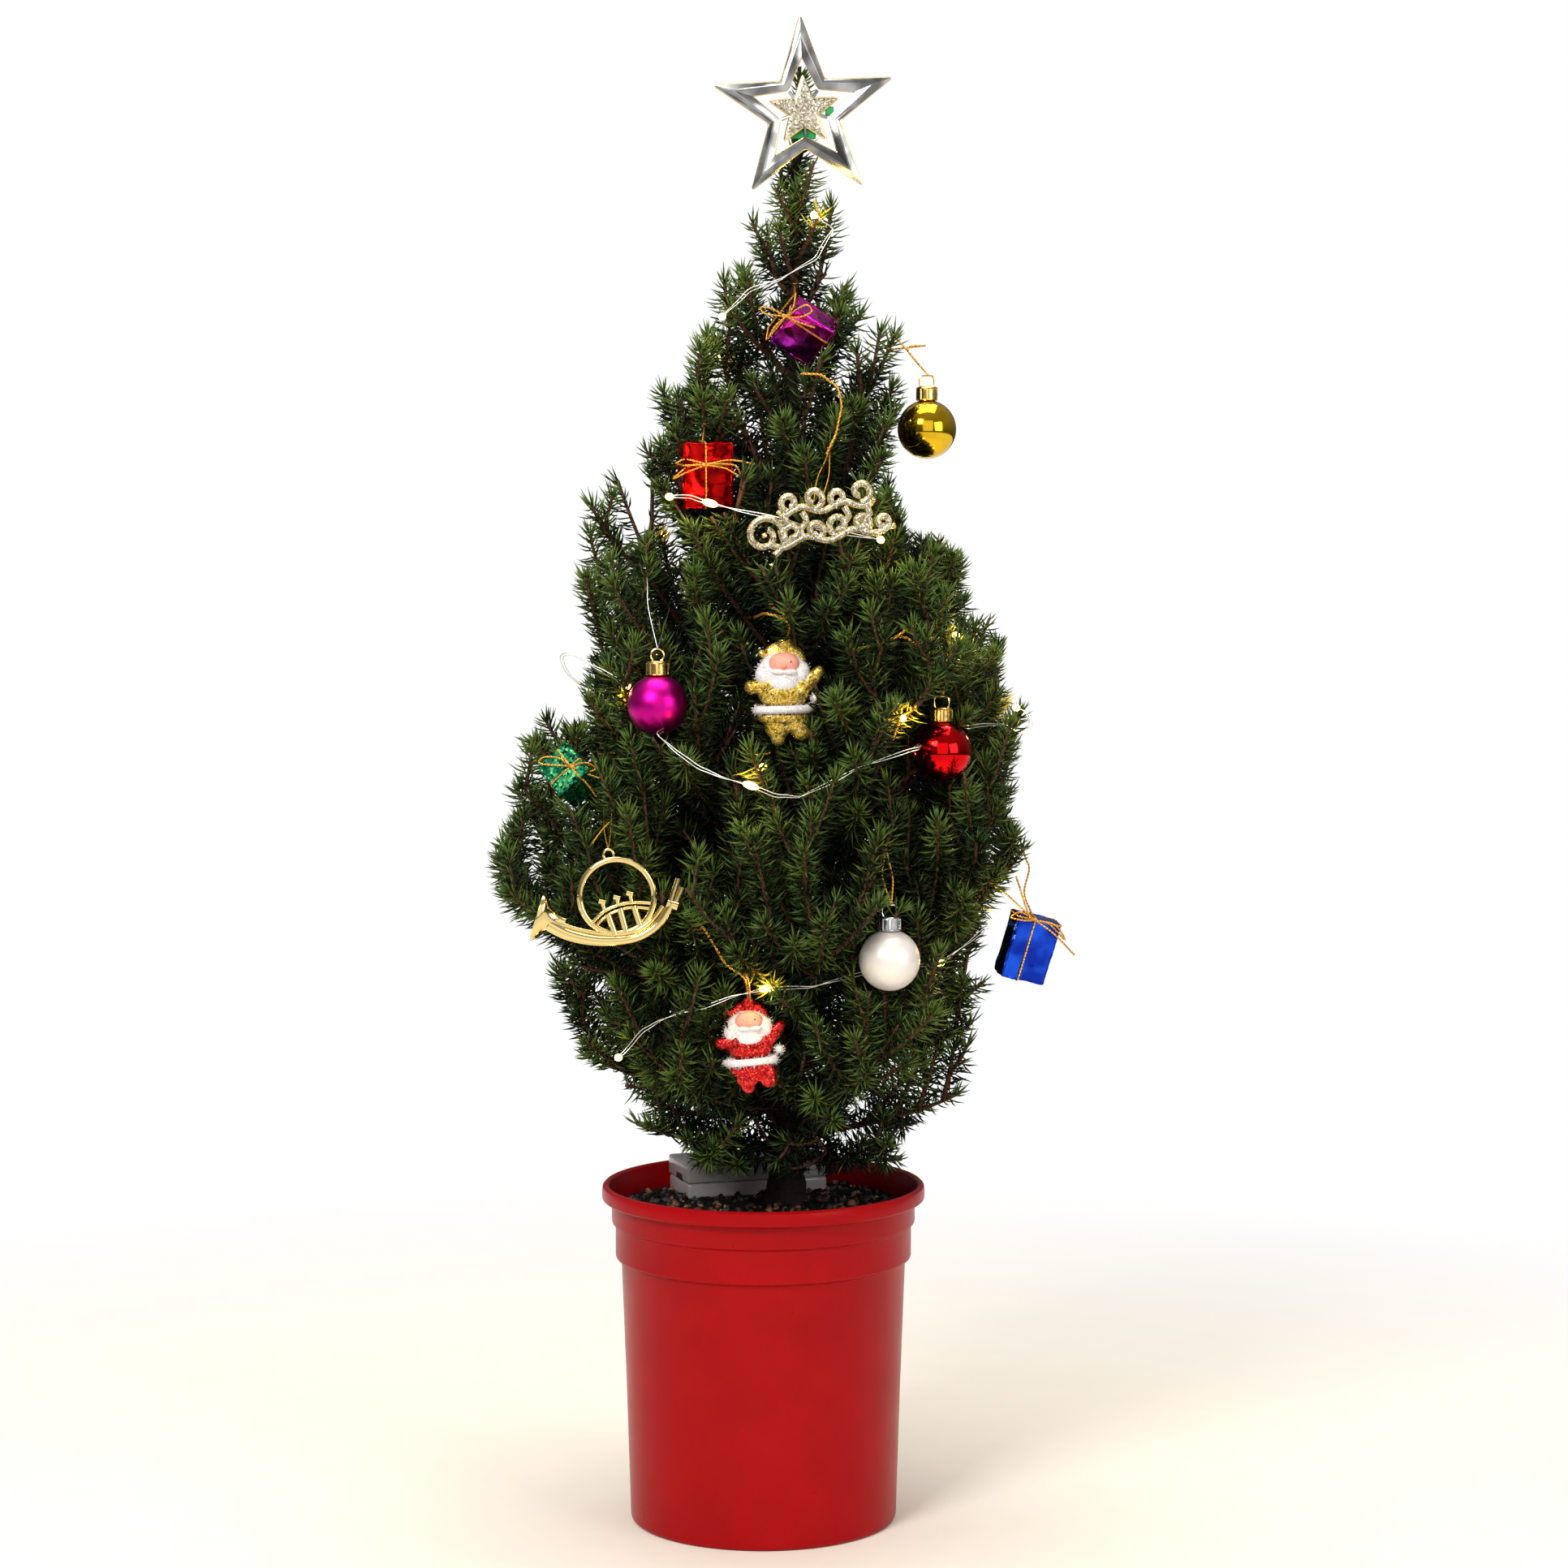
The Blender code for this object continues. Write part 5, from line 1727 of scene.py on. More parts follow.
class SPRUCE_OT_star(bpy.types.Operator):
    """Make the open star on the leader, its small star, struts, gold edges and clip"""

    bl_idname = "spruce.star"
    bl_label = "Star"

    def execute(self, context):
        plate = Recipe("Silver plate", (0.90, 0.89, 0.86), 0.14, Metallic=1.0)
        # Darker and lighter streaks in the plate's colour are painted reflections of the surroundings.
        reflection_streaks = plate.between(plate.noise(52, 2), 0.40, 0.62)
        plate.paint(plate.blend(reflection_streaks, (0.17, 0.17, 0.165), (0.52, 0.51, 0.49)))
        plate.rough(plate.noise(90, 2) * 0.14 + 0.15)
        plate.relief(plate.noise(36, 1), 0.0020)
        silver = plate.material
        gold = metal("Gold edge", (0.80, 0.56, 0.20), 0.22)
        half = STAR_THICK / 2
        low = 0.0006
        star = flat_star(STAR_RADIUS, STAR_NOTCH, low)
        picked(star, "polygons", lambda face: True)
        before = 1.0
        for share, rise in ((0.5 + STAR_OPENING / 2, half - low), (STAR_OPENING, low - half)):
            bpy.ops.mesh.extrude_region()
            wide = share / before
            bpy.ops.transform.resize(value=(wide, wide, 1), center_override=(0, 0, 0))
            bpy.ops.transform.translate(value=(0, 0, rise))
            before = share
        bpy.ops.object.mode_set(mode="OBJECT")
        picked(star, "polygons", lambda face: len(face.vertices) == 10)
        bpy.ops.mesh.delete(type="ONLY_FACE")
        bpy.ops.object.mode_set(mode="OBJECT")
        for share in (0.5 + STAR_OPENING / 2, STAR_OPENING):
            reach = share * STAR_NOTCH * STAR_RADIUS
            picked(
                star, "vertices", lambda point: abs(point.co.to_2d().length - reach) < 0.0003
            )
            wide = 1 + (STAR_OPENING_NOTCH / (STAR_OPENING * STAR_NOTCH) - 1) * (1 - share) / (
                1 - STAR_OPENING
            )
            bpy.ops.transform.resize(value=(wide, wide, 1), center_override=(0, 0, 0))
            bpy.ops.object.mode_set(mode="OBJECT")
        heights = [point.co.z for point in star.data.vertices]
        picked(
            star, "edges", lambda edge: min(heights[v] for v in edge.vertices) > half - 0.0002
        )
        bpy.ops.mesh.bevel(offset=0.0007, segments=3, affect="EDGES")
        bpy.ops.object.mode_set(mode="OBJECT")
        picked(star, "vertices", lambda point: point.co.to_2d().length > 0.98 * STAR_RADIUS)
        bpy.ops.mesh.bevel(offset=0.0016, segments=3, affect="VERTICES")
        bpy.ops.mesh.select_mode(type="EDGE")
        bpy.ops.mesh.select_all(action="DESELECT")
        bpy.ops.mesh.select_non_manifold()
        bpy.ops.mesh.extrude_edges_move(TRANSFORM_OT_translate={"value": (0, 0, -low)})
        bpy.ops.object.mode_set(mode="OBJECT")
        modified(star, "MIRROR", use_axis=(False, False, True), merge_threshold=2e-5)
        outwards(star)
        upright(star)
        settled(star, "star_bars", silver, ["star_topper"], smooth=25)
        small = flat_star(SMALL_STAR_RADIUS, SMALL_STAR_NOTCH, 0.0011)
        picked(small, "polygons", lambda face: True)
        bpy.ops.mesh.inset(thickness=0.0016, depth=0)
        bpy.ops.transform.translate(value=(0, 0, 0.0006))
        bpy.ops.mesh.select_mode(type="EDGE")
        bpy.ops.mesh.select_all(action="DESELECT")
        bpy.ops.mesh.select_non_manifold()
        bpy.ops.mesh.extrude_edges_move(TRANSFORM_OT_translate={"value": (0, 0, -0.0011)})
        bpy.ops.object.mode_set(mode="OBJECT")
        modified(small, "MIRROR", use_axis=(False, False, True), merge_threshold=2e-5)
        outwards(small)
        upright(small)
        # The small star's glitter: painted shade on darker flakes, painted glints in the palest colour.
        flakes = glitter(
            "Pale glitter", (0.20, 0.17, 0.11), (0.50, 0.45, 0.33), (0.95, 0.90, 0.76), 0.0009
        )
        settled(small, "small_star", flakes, smooth=0)
        edges = [
            rounded_corners(star_spots(STAR_RADIUS, STAR_NOTCH), 0.0020),
            rounded_corners(
                star_spots(STAR_OPENING * STAR_RADIUS, STAR_OPENING_NOTCH / STAR_OPENING), 0.0016
            ),
            rounded_corners(star_spots(SMALL_STAR_RADIUS, SMALL_STAR_NOTCH), 0.0012),
        ]
        paths = [edge + edge[:2] for edge in edges]
        settled(tubes("star_edges", paths, [0.00050, 0.00050, 0.00075], 8), "star_edges", gold)
        corners = star_spots(STAR_RADIUS, STAR_NOTCH)
        struts = [
            resampled(
                [STAR_CENTRE.lerp(corners[corner], 0.30), STAR_CENTRE.lerp(corners[corner], 0.66)],
                0.002,
            )
            for corner in range(1, 10, 2)
        ]
        settled(tubes("star_struts", struts, 0.0010, 10), "star_struts", silver)
        green = mottled(
            "Green plastic", (0.006, 0.22, 0.055), (0.012, 0.34, 0.09), 0.35, 200,
            Specular_IOR_Level=0.4,
        )
        lower, upper = (trunk_at(height) for height in CLIP_ENDS)
        clip = turned(
            [(0.0030, 0.0), (0.0045, 0.0), (0.0048, 0.001), (0.0048, 0.013), (0.0045, 0.014),
             (0.0030, 0.014), (0.0030, 0.0)],
            32, axis=upper - lower, place=lower,
        )
        bar = block((0.0150, 0.0026, 0.0062), seen_at(990, 165, STAR_CENTRE.y + 0.0038), 0.0008)
        web = block((0.0050, 0.0080, 0.0050), seen_at(1022, 137, STAR_CENTRE.y + 0.0045), 0.0008)
        settled(joined([clip, bar, web]), "star_clip", green.material)
        return {"FINISHED"}


def tied(perch, start):
    """A cord's last stretch: from start to a twig, and once round it."""
    loop = []
    for step in range(10):
        angle = -math.pi / 2 + math.tau * step / 9
        loop.append(perch + (RIGHT * math.cos(angle) + FRONT * math.sin(angle)) * 0.0022
                    + UP * (0.0012 * step / 9))
    return [start, start.lerp(loop[0], 0.55) + FRONT * 0.0012, *loop]


def cord_to(start, spots):
    """A cord from start through pixels of the photograph to the twig at the last one."""
    perch = crown().perch(*spots[-1])
    way = [start]
    for number, spot in enumerate(spots[:-1], 1):
        share = number / len(spots)
        way.append(seen_at(*spot, start.y + (perch.y - start.y) * share))
    return through(way[:-1] + tied(perch, way[-1]), 5)


def wire_ring(centre, wide, tall, power):
    """A closed ring in the upright plane, round for a power of 1 and squarer below it."""
    made = []
    for step in range(27):
        angle = math.tau * step / 25
        across, rise = math.cos(angle), math.sin(angle)
        made.append(
            centre
            + RIGHT * (wide * math.copysign(abs(across) ** power, across))
            + UP * (tall * math.copysign(abs(rise) ** power, rise))
        )
    return made


class SPRUCE_OT_baubles(bpy.types.Operator):
    """Hang the round baubles with their fluted caps, rings and cords"""

    bl_idname = "spruce.baubles"
    bl_label = "Baubles"

    def execute(self, context):
        plates = {
            "gold": metal("Gold cap", (0.86, 0.60, 0.18), 0.16, 0.0004),
            "silver": metal("Silver cap", (0.80, 0.80, 0.78), 0.16, 0.0004),
        }
        silver = metal("Silver thread", (0.72, 0.72, 0.72), 0.35)
        for name, row in BAUBLES.items():
            centre, radius = bauble_place(name)
            shine = Recipe(
                f"{name.title()} bauble", row["colour"], row["rough"],
                Metallic=0.25 if name == "pearl" else 1.0,
            )
            cloud = shine.noise(70, 2)
            shine.paint(shine.blend(shine.between(cloud, 0.35, 0.65), row["deep"], row["colour"]))
            shine.rough(cloud * 0.08 + (row["rough"] - 0.04))
            settled(ball(radius, centre, 72), f"bauble_{name}", shine.material)
            foot = radius * 0.975
            cap = turned(
                [(0.0063, 0.0), (0.0066, 0.0004), (0.0066, 0.0070), (0.0063, 0.0078),
                 (0.0056, 0.0083), (0.0036, 0.0086), (0.0, 0.0087)],
                64, place=centre + UP * foot,
            )
            low = centre.z + foot

            def in_flute(face, low=low, centre=centre):
                away = face.center - centre
                turn = math.atan2(away.y, away.x) * 8 / math.tau % 1
                return 0.15 < turn < 0.85 and low + 0.0005 < face.center.z < low + 0.0068

            picked(cap, "polygons", in_flute)
            bpy.ops.mesh.inset(thickness=0.0004, depth=-0.0005)
            bpy.ops.object.mode_set(mode="OBJECT")
            plate = plates["silver" if name == "pearl" else "gold"]
            settled(cap, f"bauble_cap_{name}", plate)
            top = centre + UP * (foot + 0.0080)
            if name == "magenta":
                loop = wire_ring(top + UP * 0.0036, 0.0038, 0.0038, 1.0)
            else:
                loop = wire_ring(top + UP * 0.0034, 0.0044, 0.0036, 0.55)
            settled(tubes("ring", [loop], 0.00055, 8), f"bauble_ring_{name}", plate)
            high = loop[6]
            paths = [cord_to(high, spots) for spots in row["cords"]]
            if name == "magenta":
                settled(tubes("cord", paths, 0.00028, 6), f"bauble_cord_{name}", silver)
            else:
                twisted(f"bauble_cord_{name}", paths, 0.00062, gold_cord())
        return {"FINISHED"}


def squared_loop(place, half, flat, offset):
    """A cord's way round a box, in the box's upright (0, 1, 1) or level (1, 1, 0) plane."""
    made = []
    for step in range(62):
        angle = math.tau * step / 60
        one, other = math.cos(angle), math.sin(angle)
        reach = (abs(one) ** 14 + abs(other) ** 14) ** (1 / 14)
        one, other = one / reach, other / reach
        if flat == "upright":
            point = Vector((offset, one * half.y, other * half.z))
        else:
            point = Vector((one * half.x, other * half.y, offset))
        made.append(place @ point)
    return made


class SPRUCE_OT_gifts(bpy.types.Operator):
    """Hang the small boxes in coloured foil, tied with gold cord"""

    bl_idname = "spruce.gifts"
    bl_label = "Foil Boxes"

    def execute(self, context):
        for number, (name, row) in enumerate(GIFTS.items()):
            place, size = gift_place(name)
            if name == "green":
                # Green foil as glitter: painted shade on darker flakes, painted glints in the pale green.
                foil = glitter(
                    "Green foil", (0.001, 0.035, 0.020), (0.008, 0.24, 0.11), (0.20, 0.75, 0.25),
                    0.0016, 0.0003,
                )
            else:
                made = Recipe(f"{name.title()} foil", row["colour"], 0.14, Metallic=1.0)
                sheet = made.noise(55, 2)
                made.paint(made.blend(made.between(sheet, 0.40, 0.60), row["deep"], row["colour"]))
                made.rough(made.noise(200, 2) * 0.22 + 0.05)
                crease = made.cells(95) + made.noise(45, 2) * 1.5
                made.relief(crease, 0.0008)
                foil = made.material
            box = block(size, (0, 0, 0), 0.0012)
            picked(box, "polygons", lambda face: True)
            bpy.ops.mesh.subdivide(number_cuts=7)
            bpy.ops.object.mode_set(mode="OBJECT")
            for point in box.data.vertices:
                way = noise.noise_vector(point.co * 130 + Vector((number, 0, 0)))
                point.co += way * 0.0006
            shaken(box, 0.00012, number)
            box.matrix_world = place
            settled(box, f"box_{name}", foil, smooth=18)
            eye = place.inverted() @ CAMERA_PLACE
            spot = place.inverted() @ seen_at(*row["bow"][0][0], place.translation.y)
            half = size / 2 + Vector((0.0004, 0.0004, 0.0004))
            share = (-half.y - eye.y) / (spot.y - eye.y)
            knot = eye.lerp(spot, share)
            paths = [
                squared_loop(place, half, "upright", knot.x),
                squared_loop(place, half, "level", knot.z),
            ]
            tie = place @ knot
            depth = tie.y - 0.0010
            for spots in row["bow"]:
                path = [seen_at(*spot, depth - 0.0012 * (n % 2)) for n, spot in enumerate(spots)]
                paths.append(through(path, 6))
            top = place @ Vector((knot.x, 0, half.z))
            paths.append(cord_to(top, row["hang"][1:] if len(row["hang"]) > 1 else row["hang"]))
            twisted(f"box_cord_{name}", paths, 0.00062, gold_cord())
            settled(ball(0.0014, tie, 12, (1, 0.7, 1)), f"box_knot_{name}", gold_cord())
        return {"FINISHED"}


def front_wire(spots, out=0.009):
    """A wire's way over the front of the crown, through pixels of the photograph."""
    fine = []
    for before, after in zip(spots, spots[1:]):
        count = max(1, round(math.dist(before, after) / 16))
        for step in range(count):
            share = step / count
            fine.append([a + (b - a) * share for a, b in zip(before, after)])
    fine.append(list(spots[-1]))
    depths = [front_depth(round(a), round(d), 16) for a, d in fine]
    low = [min(depths[max(0, index - 2):index + 3]) for index in range(len(depths))]
    smooth = []
    for index in range(len(low)):
        near = low[max(0, index - 4):index + 5]
        smooth.append(sum(near) / len(near))
    return [seen_at(*spot, depth - out) for spot, depth in zip(fine, smooth)]


def back_wire(bearings, heights, count=18):
    """A wire's way round the crown's back, between two bearings in degrees and two heights."""
    made = []
    for step in range(count + 1):
        share = step / count
        bearing = math.radians(bearings[0] + (bearings[1] - bearings[0]) * share)
        height = heights[0] + (heights[1] - heights[0]) * share
        height += 0.006 * math.sin(3 * math.pi * share)
        made.append(first_crown().hull(bearing, height))
    smooth = []
    for index in range(count + 1):
        near = made[max(0, index - 1):index + 2]
        smooth.append(sum(near, Vector()) / len(near))
    return smooth


@lru_cache(maxsize=1)
def wire_stretches():
    """The light string in order: whether a stretch shows at the front, and its points."""
    made = []
    for spots, out, bearings, heights in (
        (LOW_WIRE, 0.009, (25, 160), (0.375, 0.475)),
        (MIDDLE_WIRE, 0.009, None, None),
        (RIGHT_WIRE, 0.006, (20, 160), (0.500, 0.520)),
        (LEFT_WIRE, 0.003, (155, 70), (0.520, 0.565)),
        (None, 0.0, (70, 155), (0.580, 0.610)),
        (HIGH_WIRE, 0.009, (20, 155), (0.640, 0.725)),
        (TOP_WIRE, 0.009, None, None),
    ):
        if spots:
            front = front_wire(spots, out)
            ends = [front[index] - FRONT * 0.034 for index in (0, -1)]
            made.append((True, [ends[0], *front, ends[1]]))
        if bearings:
            made.append((False, back_wire(bearings, heights)))
    return made


@lru_cache(maxsize=1)
def light_string():
    """The string's whole path, the battery box's lead included."""
    rise = [Vector(point) for point in (
        (-0.015, 0.036, 0.222), (-0.004, 0.028, 0.240), (0.002, 0.018, 0.272),
        (-0.028, -0.008, 0.290), (-0.060, -0.040, 0.288),
    )]
    points = rise + [point for _, stretch in wire_stretches() for point in stretch]
    kept = [points[0]]
    for point in points[1:]:
        if (point - kept[-1]).length > 0.004:
            kept.append(point)
    return through(kept, 4)


@lru_cache(maxsize=1)
def bulb_places():
    """Where the bulbs sit: at the glows that the photograph shows, and evenly round the back."""
    path = light_string()
    table = np.array([tuple(point) for point in path])
    shown = shown_at(table)
    made = []
    for glow in GLOWS:
        aside = ((shown - glow) ** 2).sum(axis=1) + 1e6 * (table[:, 1] > 0.03)
        index = int(aside.argmin())
        if aside[index] < 20**2:
            made.append(path[index])
        else:
            made.append(seen_at(*glow, front_depth(*glow, 16) - 0.004))
    for front, stretch in wire_stretches():
        run = 0.5 * BULBS_APART
        for before, after in zip(stretch, stretch[1:]):
            run += (after - before).length
            if not front and run > BULBS_APART:
                made.append(after)
                run = 0.0
    return made


class SPRUCE_OT_lights(bpy.types.Operator):
    """String the small warm lights on their silver wire, all round the crown"""

    bl_idname = "spruce.lights"
    bl_label = "String of Lights"

    def execute(self, context):
        wire = metal("Silver wire", (0.80, 0.76, 0.68), 0.30)
        glow = mottled("Warm light", (1.0, 0.70, 0.25), (1.0, 0.85, 0.45), 0.3, 900)
        glow.surface.inputs["Emission Color"].default_value = (1.0, 0.62, 0.17, 1)
        glow.surface.inputs["Emission Strength"].default_value = 5.0
        path = light_string()
        table = np.array([tuple(point) for point in path])
        bulbs = []
        for number, place in enumerate(bulb_places()):
            index = int(((table - np.array(place)) ** 2).sum(axis=1).argmin())
            index = min(max(index, 1), len(path) - 2)
            along = (path[index + 1] - path[index - 1]).normalized()
            bulb = ball(0.0022, (0, 0, 0), 20, (1, 1, 2.2))
            bulb.rotation_mode = "QUATERNION"
            bulb.rotation_quaternion = UP.rotation_difference(along)
            bulb.location = place
            bpy.ops.object.transform_apply(location=True, rotation=True)
            bulbs.append(bulb)
            light = bpy.data.lights.new(f"glow {number}", "POINT")
            light.energy = 0.032
            light.color = (1.0, 0.58, 0.14)
            light.shadow_soft_size = 0.003
            lamp = bpy.data.objects.new(f"glow {number}", light)
            away = place - trunk_at(place.z)
            away.z = 0
            lamp.location = place + away.normalized() * 0.006
            context.scene.collection.objects.link(lamp)
        settled(joined(bulbs), "light_bulbs", glow.material)
        frames = frames_along(path)
        strands = []
        for side in (0, math.pi):
            strands.append([
                point + (across * math.cos(side + 0.13 * step) + beside * math.sin(side + 0.13 * step))
                * 0.0009
                for step, (point, (_, across, beside)) in enumerate(zip(path, frames))
            ])
        settled(tubes("wire", strands, 0.00028, 6), "light_wire", wire, smooth=0)
        return {"FINISHED"}


def fibres(name, roots, ways, lengths, width, seed):
    """Fine curved hairs from the roots along the ways."""
    dice = np.random.default_rng(seed)
    roots, ways = np.asarray(roots), np.asarray(ways)
    lengths = np.asarray(lengths)[:, None]
    middles = roots + ways * (0.5 * lengths)
    tips = middles + (ways + dice.normal(0, 0.45, ways.shape)) * (0.5 * lengths)
    return needle_mesh(name, roots, middles, tips, width)


# A gnome's parts in pixels about its middle: across, up, forward, then half its width, height, depth
SUIT_PARTS = (
    (0, -4, 0, 31, 20, 12), (-2, 6, 0, 29, 14, 11), (0, -33, 0, 31, 11, 11),
    (-7, -46, 0, 15, 13, 9), (-6, -58, 0, 9, 9, 7), (17, -42, 0, 16, 12, 9), (22, -51, 0, 11, 10, 8),
    (-28, 4, 0, 14, 9, 8), (-38, 3, 0, 9, 9, 8), (26, 8, 0, 12, 11, 8), (35, 15, 0, 10, 9, 8),
    (42, 22, 0, 7, 7, 7), (0, 34, -6, 28, 24, 9), (2, 55, -2, 9, 8, 6), (-25, 43, -2, 6, 5, 6),
)
WOOL_PARTS = (
    (-1, 24, 1, 30, 23, 12), (-24, 18, 2, 11, 13, 9), (23, 22, 2, 10, 14, 9), (0, 8, 4, 20, 12, 10),
)


def figure_part(row, unit):
    across, rise, ahead, wide, tall, deep = (unit * value for value in row)
    return ball(1.0, (across, -ahead, rise), 20, (wide, deep, tall))


class SPRUCE_OT_gnomes(bpy.types.Operator):
    """Hang the two soft gnomes in glittering suits"""

    bl_idname = "spruce.gnomes"
    bl_label = "Gnomes"

    def execute(self, context):
        wool = mottled("White wool", (0.62, 0.56, 0.53), (0.92, 0.88, 0.85), 0.95, 900, 0.0006)
        skin = mottled("Gnome face", (0.72, 0.25, 0.17), (0.84, 0.38, 0.27), 0.6, 200)
        dark = mottled("Gnome eyes", (0.004, 0.004, 0.006), (0.02, 0.02, 0.03), 0.2, 500)
        for number, (name, row) in enumerate(FIGURES.items()):
            depth = figure_depth(name)
            unit = pixels(1, depth) * row["scale"]
            turn = Matrix.Rotation(math.radians(row["turn"]), 4, "Y")
            place = Matrix.Translation(seen_at(*row["at"], depth)) @ turn
            suit = joined([figure_part(part, 1.04 * unit) for part in SUIT_PARTS])
            modified(suit, "REMESH", mode="VOXEL", voxel_size=0.0009)
            modified(suit, "SMOOTH", factor=0.5, iterations=5)
            shaken(suit, 0.00006, number)
            head = joined([figure_part(part, unit) for part in WOOL_PARTS])
            modified(head, "REMESH", mode="VOXEL", voxel_size=0.0009)
            modified(head, "SMOOTH", factor=0.5, iterations=3)
            face = figure_part((1, 33, 8.5, 19, 13.5, 8.5), unit)
            nose = figure_part((1, 30, 15.5, 3.8, 3.2, 3.2), unit)
            eyes = joined([figure_part((at, 35, 14.6, 1.9, 2.2, 1.6), unit) for at in (-6, 9)])
            beard = joined([figure_part((at, 23, 12.5, 9, 4, 4), unit) for at in (-6, 8)])
            belt = []
            for step in range(50):
                angle = math.tau * step / 48
                spot = Vector((33 * math.cos(angle), 13.5 * math.sin(angle), -24 + math.cos(angle)))
                belt.append(spot * unit)
            belt = tubes("belt", [belt], 5.0 * unit, 14)
            bobble = figure_part((40, -10, 2, 5.5, 5.5, 5.5), unit)
            dice = np.random.default_rng(number)
            roots, ways = [], []
            for part, count in ((WOOL_PARTS[0], 620), (WOOL_PARTS[1], 120), (WOOL_PARTS[2], 120),
                                (WOOL_PARTS[3], 200), ((40, -10, 2, 5.5, 5.5, 5.5), 110)):
                middle = np.array((part[0], -part[2], part[1]))
                half = np.array((part[3], part[5], part[4]))
                out = dice.normal(0, 1, (count, 3))
                out /= np.linalg.norm(out, axis=1)[:, None]
                points = middle + out * half * 0.96
                ahead = ((points[:, 0] - 1) / 17) ** 2 + ((points[:, 2] - 33) / 12.5) ** 2 > 1
                ahead |= points[:, 1] > 2
                way = out / half
                way /= np.linalg.norm(way, axis=1)[:, None]
                roots.append(points[ahead])
                ways.append(way[ahead])
            around = dice.uniform(0, math.tau, 420)
            about = dice.uniform(0, math.tau, 420)
            ring_out = np.stack([np.cos(around), np.sin(around), 0 * around], axis=1)
            way = ring_out * np.cos(about)[:, None] + np.array([0, 0, 1]) * np.sin(about)[:, None]
            spots = ring_out * (33, 13.5, 0) + np.array([0, 0, -24]) + way * 4.6
            spots[:, 2] += np.cos(around)
            roots.append(spots)
            ways.append(way)
            roots = np.concatenate(roots) * unit
            lengths = dice.uniform(0.0011, 0.0021, len(roots))
            hair = fibres("hair", roots, np.concatenate(ways), lengths, 0.00030, number)
            # The sequins: painted shade on darker flakes, painted glints in the light colour.
            flakes = glitter(f"{name.title()} sequins", row["deep"], row["colour"], row["light"], 0.0008)
            for piece, label, finish in (
                (suit, "suit", flakes), (head, "wool", wool.material), (face, "face", skin.material),
                (nose, "nose", skin.material), (eyes, "eyes", dark.material),
                (beard, "beard", wool.material), (belt, "belt", wool.material),
                (bobble, "bobble", wool.material), (hair, "hair", wool.material),
            ):
                piece.matrix_world = place @ piece.matrix_world
                settled(piece, f"gnome_{label}_{name}", finish)
            paths = []
            for spots in row["cords"]:
                start = seen_at(spots[0][0], spots[0][1] + 6, depth)
                way = [start] + front_wire(spots[1:], 0.009)[::2]
                paths.append(through(way[:-1] + tied(crown().perch(*spots[-1]), way[-1]), 3))
            twisted(f"gnome_cord_{name}", paths, 0.00085, gold_cord())
        return {"FINISHED"}


class SPRUCE_OT_horn(bpy.types.Operator):
    """Hang the small gilt horn"""

    bl_idname = "spruce.horn"
    bl_label = "Horn"

    def execute(self, context):
        depth = horn_depth()
        unit = pixels(1, depth)
        gilt = metal("Pale gilt", (0.80, 0.62, 0.26), 0.09)

        def pipe(spots, count, ahead=0.0):
            return drawn(spots, depth - ahead * unit, 6), count * unit

        circle = [(760.3 + 45.6 * math.cos(math.tau * s / 48), 1104.5 + 45.6 * math.sin(math.tau * s / 48))
                  for s in range(50)]
        eye = [(749.8 + 6.2 * math.cos(math.tau * s / 20), 1053 + 6.6 * math.sin(math.tau * s / 20))
               for s in range(22)]
        rows = [
            pipe(circle, 4.2),
            pipe(eye, 1.7),
            pipe(((728, 1139), (744, 1123), (762, 1115), (781, 1112), (806, 1113)), 2.4),
            pipe(((731, 1144), (747, 1129), (764, 1121), (782, 1118), (804, 1120)), 2.2),
            pipe(((803, 1120), (796, 1131), (789, 1139)), 3.0),
            pipe(((722, 1131), (736, 1144), (752, 1151), (770, 1151), (788, 1144), (799, 1133)), 2.6),
        ]
        for begin, end in (((749, 1126), (758, 1151)), ((764, 1119), (772, 1149)),
                           ((781, 1116), (789, 1140))):
            rows.append(pipe((begin, end), 4.0, 1.5))
        for begin, end in (((745, 1121), (742, 1111)), ((762, 1115), (760, 1106)),
                           ((779, 1112), (776, 1101))):
            rows.append(pipe((begin, end), 2.6, 1.0))
            rows.append(pipe(((end[0] - 4, end[1] - 1), (end[0] + 4, end[1] + 1)), 3.4, 1.0))
        rows += [
            pipe(((826, 1112), (831, 1097), (836, 1082)), 4.6),
            pipe(((830, 1116), (836, 1104), (841, 1093)), 4.6, -2.0),
            pipe(((822, 1113), (835, 1117)), 6.2),
        ]
        low = ((676, 1139), (700, 1151), (730, 1158), (760, 1159), (788, 1154), (810, 1140),
               (823, 1122), (828, 1112))
        path, _ = pipe(low, 1)
        widths = [unit * (8.4 - 2.2 * min(1, step / (0.5 * len(path)))) for step in range(len(path))]
        high = ((680, 1132), (702, 1142), (731, 1149), (760, 1151), (785, 1146), (804, 1133),
                (817, 1116))
        rows.append(pipe(high, 3.0, 1.0))
        horn = tubes(
            "horn", [row[0] for row in rows] + [path], [row[1] for row in rows] + [widths], 14
        )
        bell = turned(
            [(r * unit, h * unit) for r, h in (
                (8.4, -12), (8.9, -6), (10.2, 0), (12.8, 5), (17, 10), (22, 14), (26.5, 17),
                (28, 19), (28.6, 22), (28, 24), (25, 21), (16, 14), (10, 6), (6, 0), (0, -2),
            )],
            48, axis=(-0.954, 0, 0.30),
        )
        bell.scale = (1, 0.55, 1)
        bell.location = seen_at(684, 1136, depth)
        settled(joined([horn, bell]), "horn", gilt, smooth=50)
        top = seen_at(749.8, 1047, depth)
        left = cord_to(top, ((745, 1024), (744, 1000), (741, 962), (742, 932)))
        right = cord_to(top, ((753, 1024), (754, 1000), (756, 955), (752, 926)))
        tail = drawn(((751, 1013), (744, 1020), (736, 1030), (730, 1039)), depth - 0.002)
        twisted("horn_cord", [left, right, tail], 0.00048, gold_cord())
        return {"FINISHED"}


